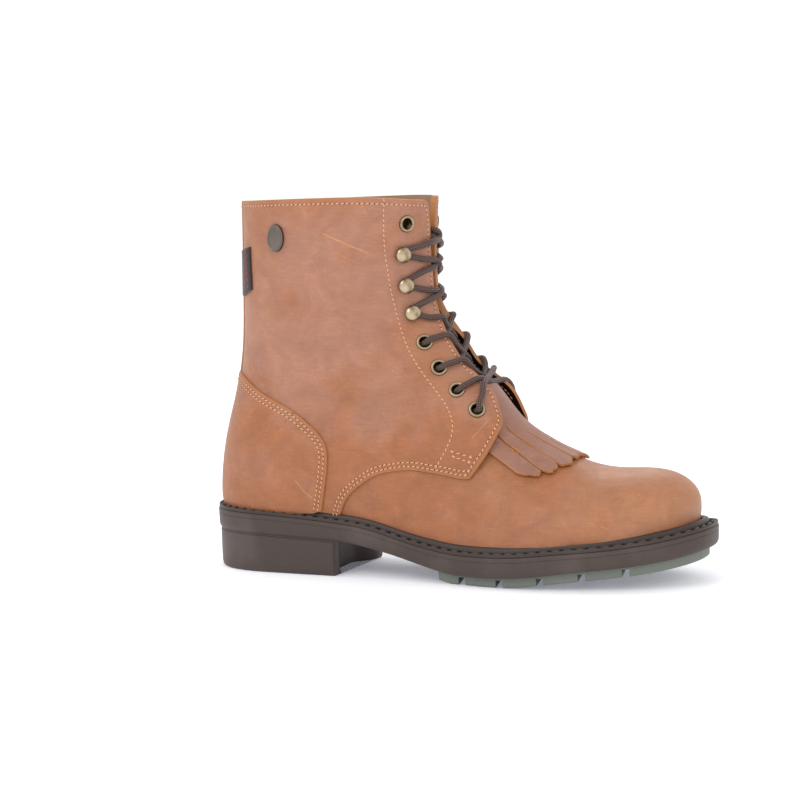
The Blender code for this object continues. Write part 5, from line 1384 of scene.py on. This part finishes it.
def outlineLoft(name, levels, places, closed, material, sharp=35.0):
    # levels give (x, y, z) for each place of a side; both sides are joined, and the ends capped across
    rings = []
    for level in levels:
        lateral, medial = (np.stack(level(places, s), -1) for s in (-1, 1))
        rings.append(np.concatenate([lateral, medial[::-1]]))
    rings = np.array(rings)
    rings[..., 1] -= yMiddle
    count, around = rings.shape[:2]
    index, after = ringIndex(count, around)
    walls = np.stack([index[:-1], index[1:], after[1:], after[:-1]], -1).reshape(-1, 4)
    i = np.arange(around // 2 - 1)
    if closed:
        cap = np.stack([i, around - 1 - i, around - 2 - i, i + 1], -1)
        walls = np.concatenate([walls, cap[:, ::-1], cap + (count - 1) * around])
    else:
        walls = np.concatenate([walls, np.stack([index[-1], index[0], after[0], after[-1]], -1)])
    mesh = bpy.data.meshes.new(name)
    mesh.from_pydata((rings.reshape(-1, 3) * mm).tolist(), [], walls.tolist())
    work = bmesh.new()
    work.from_mesh(mesh)
    bmesh.ops.remove_doubles(work, verts=work.verts, dist=1e-6)
    bmesh.ops.recalc_face_normals(work, faces=work.faces)
    work.to_mesh(mesh)
    work.free()
    return addPiece(name, mesh, material, sharp)


def soleLevel(inset, part, rise):
    def at(places, side):
        x, y = soleEdge(places, side, inset)
        return x, y, (soleTop(x) if part else soleUnder(x)) + rise
    return at


def heelLevel(inset, rise, ceiling=False):
    def at(places, side):
        # past the corner it runs over the breast
        across = np.clip((places - breastPlace) / heelHollow["span"], 0, 1)
        x, y = soleEdge(np.minimum(places, breastPlace), side, inset)
        x = np.minimum(x, heelBreast) - heelHollow["depth"] * ease(across, 0.12, 0.8)
        y = y * (1 - across)
        return x, y, (soleUnder(x) - rise if ceiling else np.full(x.shape, rise - floorDrop))
    return at


def weltLevel(bead, inset, rise):
    def at(places, side):
        x, _ = soleEdge(places, side)
        x, y = soleEdge(places, side, bead * featherInset(x) + inset)
        return x, y, soleTop(x) + rise
    return at


def placeAt(x, side=-1):
    return float(np.interp(x, soleEdge(edgePlaces, side)[0], edgePlaces))


# brown unit sole, and a darker, flecked welt over it
rubber = makeRubber("mouldedBrownRubber", rubberLook, 0.25, 0.5)
weltRubber = makeRubber("darkStormWelt", rubberLook | weltLook, 0.3, 0.46)
around = (1 - np.cos(np.linspace(0, np.pi, 261))) / 2 * 0.35 + np.linspace(0, 1, 261) * 0.65
sole = outlineLoft("unitSole", [soleLevel(*level) for level in soleLevels], around, True, rubber)
breastPlace = placeAt(heelBreast)
breastPlaces = breastPlace + np.linspace(0, heelHollow["span"], 24)
heelPlaces = np.concatenate([around[around < breastPlace - 0.004], breastPlaces])
heelRings = [heelLevel(*level) for level in heelLevels] + [heelLevel(*level, True) for level in heelCeiling]
heel = outlineLoft("heelBlock", heelRings, heelPlaces, True, rubber)
welt = outlineLoft("stormWelt", [weltLevel(*level) for level in weltLevels], around, False, weltRubber)
for piece, node, finish in ((sole, "outsole", "brown_rubber"), (heel, "heel", "brown_rubber"),
                            (welt, "welt", "dark_welt")):
    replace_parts(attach(piece, "root"), node)
print("sole, heel and welt ready")


# dark lockstitch in the welt's groove
weltPitch = 6.6
weltLines = []
for side in (-1, 1):
    places = np.linspace(0.004, 0.996, 500)
    x, _ = soleEdge(places, side)
    x, y = soleEdge(places, side, (featherInset(x) - 3.1 + 1.55) / 2 + 0.3)
    outX, outY = soleEdge(places, side, 0.0)
    aim = unit(np.stack([0.35 * (outX - x), 0.35 * (outY - y), np.full(x.shape, 1.0)], -1))
    weltLines.append((np.stack([x, y - yMiddle, soleTop(x) + 1.35], -1), aim))
# waxed thread as dark as the welt, half glossy, with near-black notches between its stitches that are painted
# shade
weltThread, _, _ = newFinish("waxedWeltThread", {"Base Color": "#463932", "Roughness": 0.5})
paintedAwlHoleShade, _, _ = newFinish("paintedAwlHoleShade", {"Base Color": "#0E0907", "Roughness": 0.9})
weltStitches = sewRows("weltStitches", weltLines, weltPitch, (0.78 * weltPitch, 2.1, 1.7), (1.7, 3.0, 1.3),
                       0.1, weltThread, paintedAwlHoleShade)
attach(weltStitches, "root")


# plain oval stud on the shaft and plain woven tab by the back strip
badgeSizes = {"row": 20.0, "share": 0.395, "wide": 0.355, "tall": 0.5, "out": 1.9}
badgeProfile = ((1.0, 1.75), (6, 1.7), (10, 1.5), (12.2, 1.15), (12.9, 1.0), (13.4, 1.25), (14.4, 1.4),
                (15.2, 1.1), (15.5, 0.5), (15.5, -0.4))
tabSizes = {"low": 155.6, "high": 182.4, "near": 21.0, "far": 30.0, "out": 3.2, "under": 1.7, "ribMm": 0.9,
            "thread": "#B5352B"}
tau = 6.283


def makeTab():
    # woven tape: matt black-brown ribs with a soft sheen
    material, tree, shader = newFinish("wovenTape", {
        "Base Color": "#2A2120", "Roughness": 0.8, "Sheen Weight": 0.25})
    place = addNode(tree, "ShaderNodeTexCoord").outputs["Object"]
    ribs = addNode(tree, "ShaderNodeTexWave", {"bands_direction": "Z"},
                   {"Vector": place, "Scale": perMm(tabSizes["ribMm"]) / tau, "Distortion": 0.6})
    relief = addNode(tree, "ShaderNodeBump", {},
                     {"Strength": 0.6, "Distance": 0.2 * mm, "Height": ribs.outputs["Fac"]})
    feed(tree, shader, {"Normal": relief})
    return material


badgeMesh = latheMesh("badgeShape", badgeProfile, np.full(len(badgeProfile), 0.5), 48)
for vertex in badgeMesh.vertices:
    vertex.co.x, vertex.co.y = vertex.co.x * badgeSizes["wide"], vertex.co.y * badgeSizes["tall"]
badgeSpot = skin(badgeSizes["row"], badgeSizes["share"], -1, badgeSizes["out"])
badgeAim = lastNormal(badgeSizes["row"], badgeSizes["share"], -1)
badgeRun = unit(np.cross((0.12, 0.0, 1.0), badgeAim))
# cast pewter: dark grey metal, softly glossy
pewter, _, _ = newFinish("castPewter", {"Base Color": "#6E675F", "Metallic": 1.0, "Roughness": 0.36})
setStuds("ovalStud", badgeMesh, [(badgeSpot, badgeAim, badgeRun)], ["side_badge"], pewter)

levels = np.linspace(tabSizes["low"], tabSizes["high"], 40)
rowsUp = np.linspace(15, collarRow, 300)
seamHeights = skin(rowsUp, seamShare(rowsUp, -1, 18.0), -1, 2.0)[:, 2]
tabRow = np.broadcast_to(np.interp(levels, seamHeights, rowsUp)[:, None], (40, 17))
tabPlace = np.linspace(0, 1, 17)
tabShare = seamShare(tabRow, -1, tabSizes["near"] + (tabSizes["far"] - tabSizes["near"]) * tabPlace[None])
tabOut = tabSizes["out"] + 0.5 * np.sin(np.pi * tabPlace)[None] + np.zeros(tabRow.shape)
tabPatch = leatherPatch(tabRow, tabShare, -1, tabOut, np.full(tabRow.shape, tabSizes["under"]),
                        ("u0", "u1", "v0", "v1"), 0.5)
tab = shellObject("wovenTab", [tabPatch], material=makeTab())
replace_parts(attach(tab, "root"), "back_tab")
dashHeights = np.linspace(tabSizes["low"] + 3.0, tabSizes["high"] - 3.0, 60)
dashRow = np.interp(dashHeights, seamHeights, rowsUp)
dashLines = []
for shift in (0.6, 3.0):
    dashShare = seamShare(dashRow, -1, (tabSizes["near"] + tabSizes["far"]) / 2 + shift)
    dashLines.append((skin(dashRow, dashShare, -1, tabSizes["out"] + 0.75),
                      lastNormal(dashRow, dashShare, -1)))
# embroidery thread: plain matt red
redThread, _, _ = newFinish("redThread", {"Base Color": tabSizes["thread"], "Roughness": 0.6})
tinyHole = (0.3, 0.3, 0.2)
dashes = sewRows("tabDashes", dashLines, 3.4, (2.2, 0.9, 0.6), tinyHole, 0.5, redThread, redThread)
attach(dashes, "root")


# small zigzags of raw leather across the kiltie's slits
nickRows = ((1, 7.32), (2, 7.2), (3, 7.02))  # slit, row
nickSteps = np.array((-0.14, -0.1, -0.05, 0.0, 0.05, 0.1, 0.14))
nickSwing = np.array((1.1, -1.1, 1.2, -1.2, 1.2, -1.1, 1.1))
nickLines = []
for side in (-1, 1):
    for line, middle in nickRows:
        rows = middle + nickSteps
        across = np.interp(rows, *np.array(kiltieSizes["lines"][line]).T) + nickSwing
        share = ridgeShare(rows, side, across)
        nickLines.append((skin(rows, share, side, kiltieSizes["out"] + 0.05), lastNormal(rows, share, side)))
# cut hide without its finish: pale and dry
rawFinish, _, _ = newFinish("rawLeather", {"Base Color": "#B97C45", "Roughness": 0.85})
nicks = sewRows("kiltieNicks", nickLines, 0.9, (1.1, 0.5, 0.35), tinyHole, 0.0, rawFinish, rawFinish)
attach(nicks, "root")


# CAD parts left showing: lugged tread in dull grey-green rubber, and an insole of dry tan board
treadRubber = makeRubber("greyGreenTread", rubberLook | {"side": "#6E746C", "dust": "#7C8279"}, 0.3, 0.6)
board = makeRubber("insoleBoard", rubberLook | {"side": "#8A6A4A", "dust": "#9A7A58"}, 0.2, 0.8)
for node, finish in (("tread", treadRubber), ("insole", board)):
    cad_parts[node].data.materials.clear()
    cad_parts[node].data.materials.append(finish)
print("trim ready")
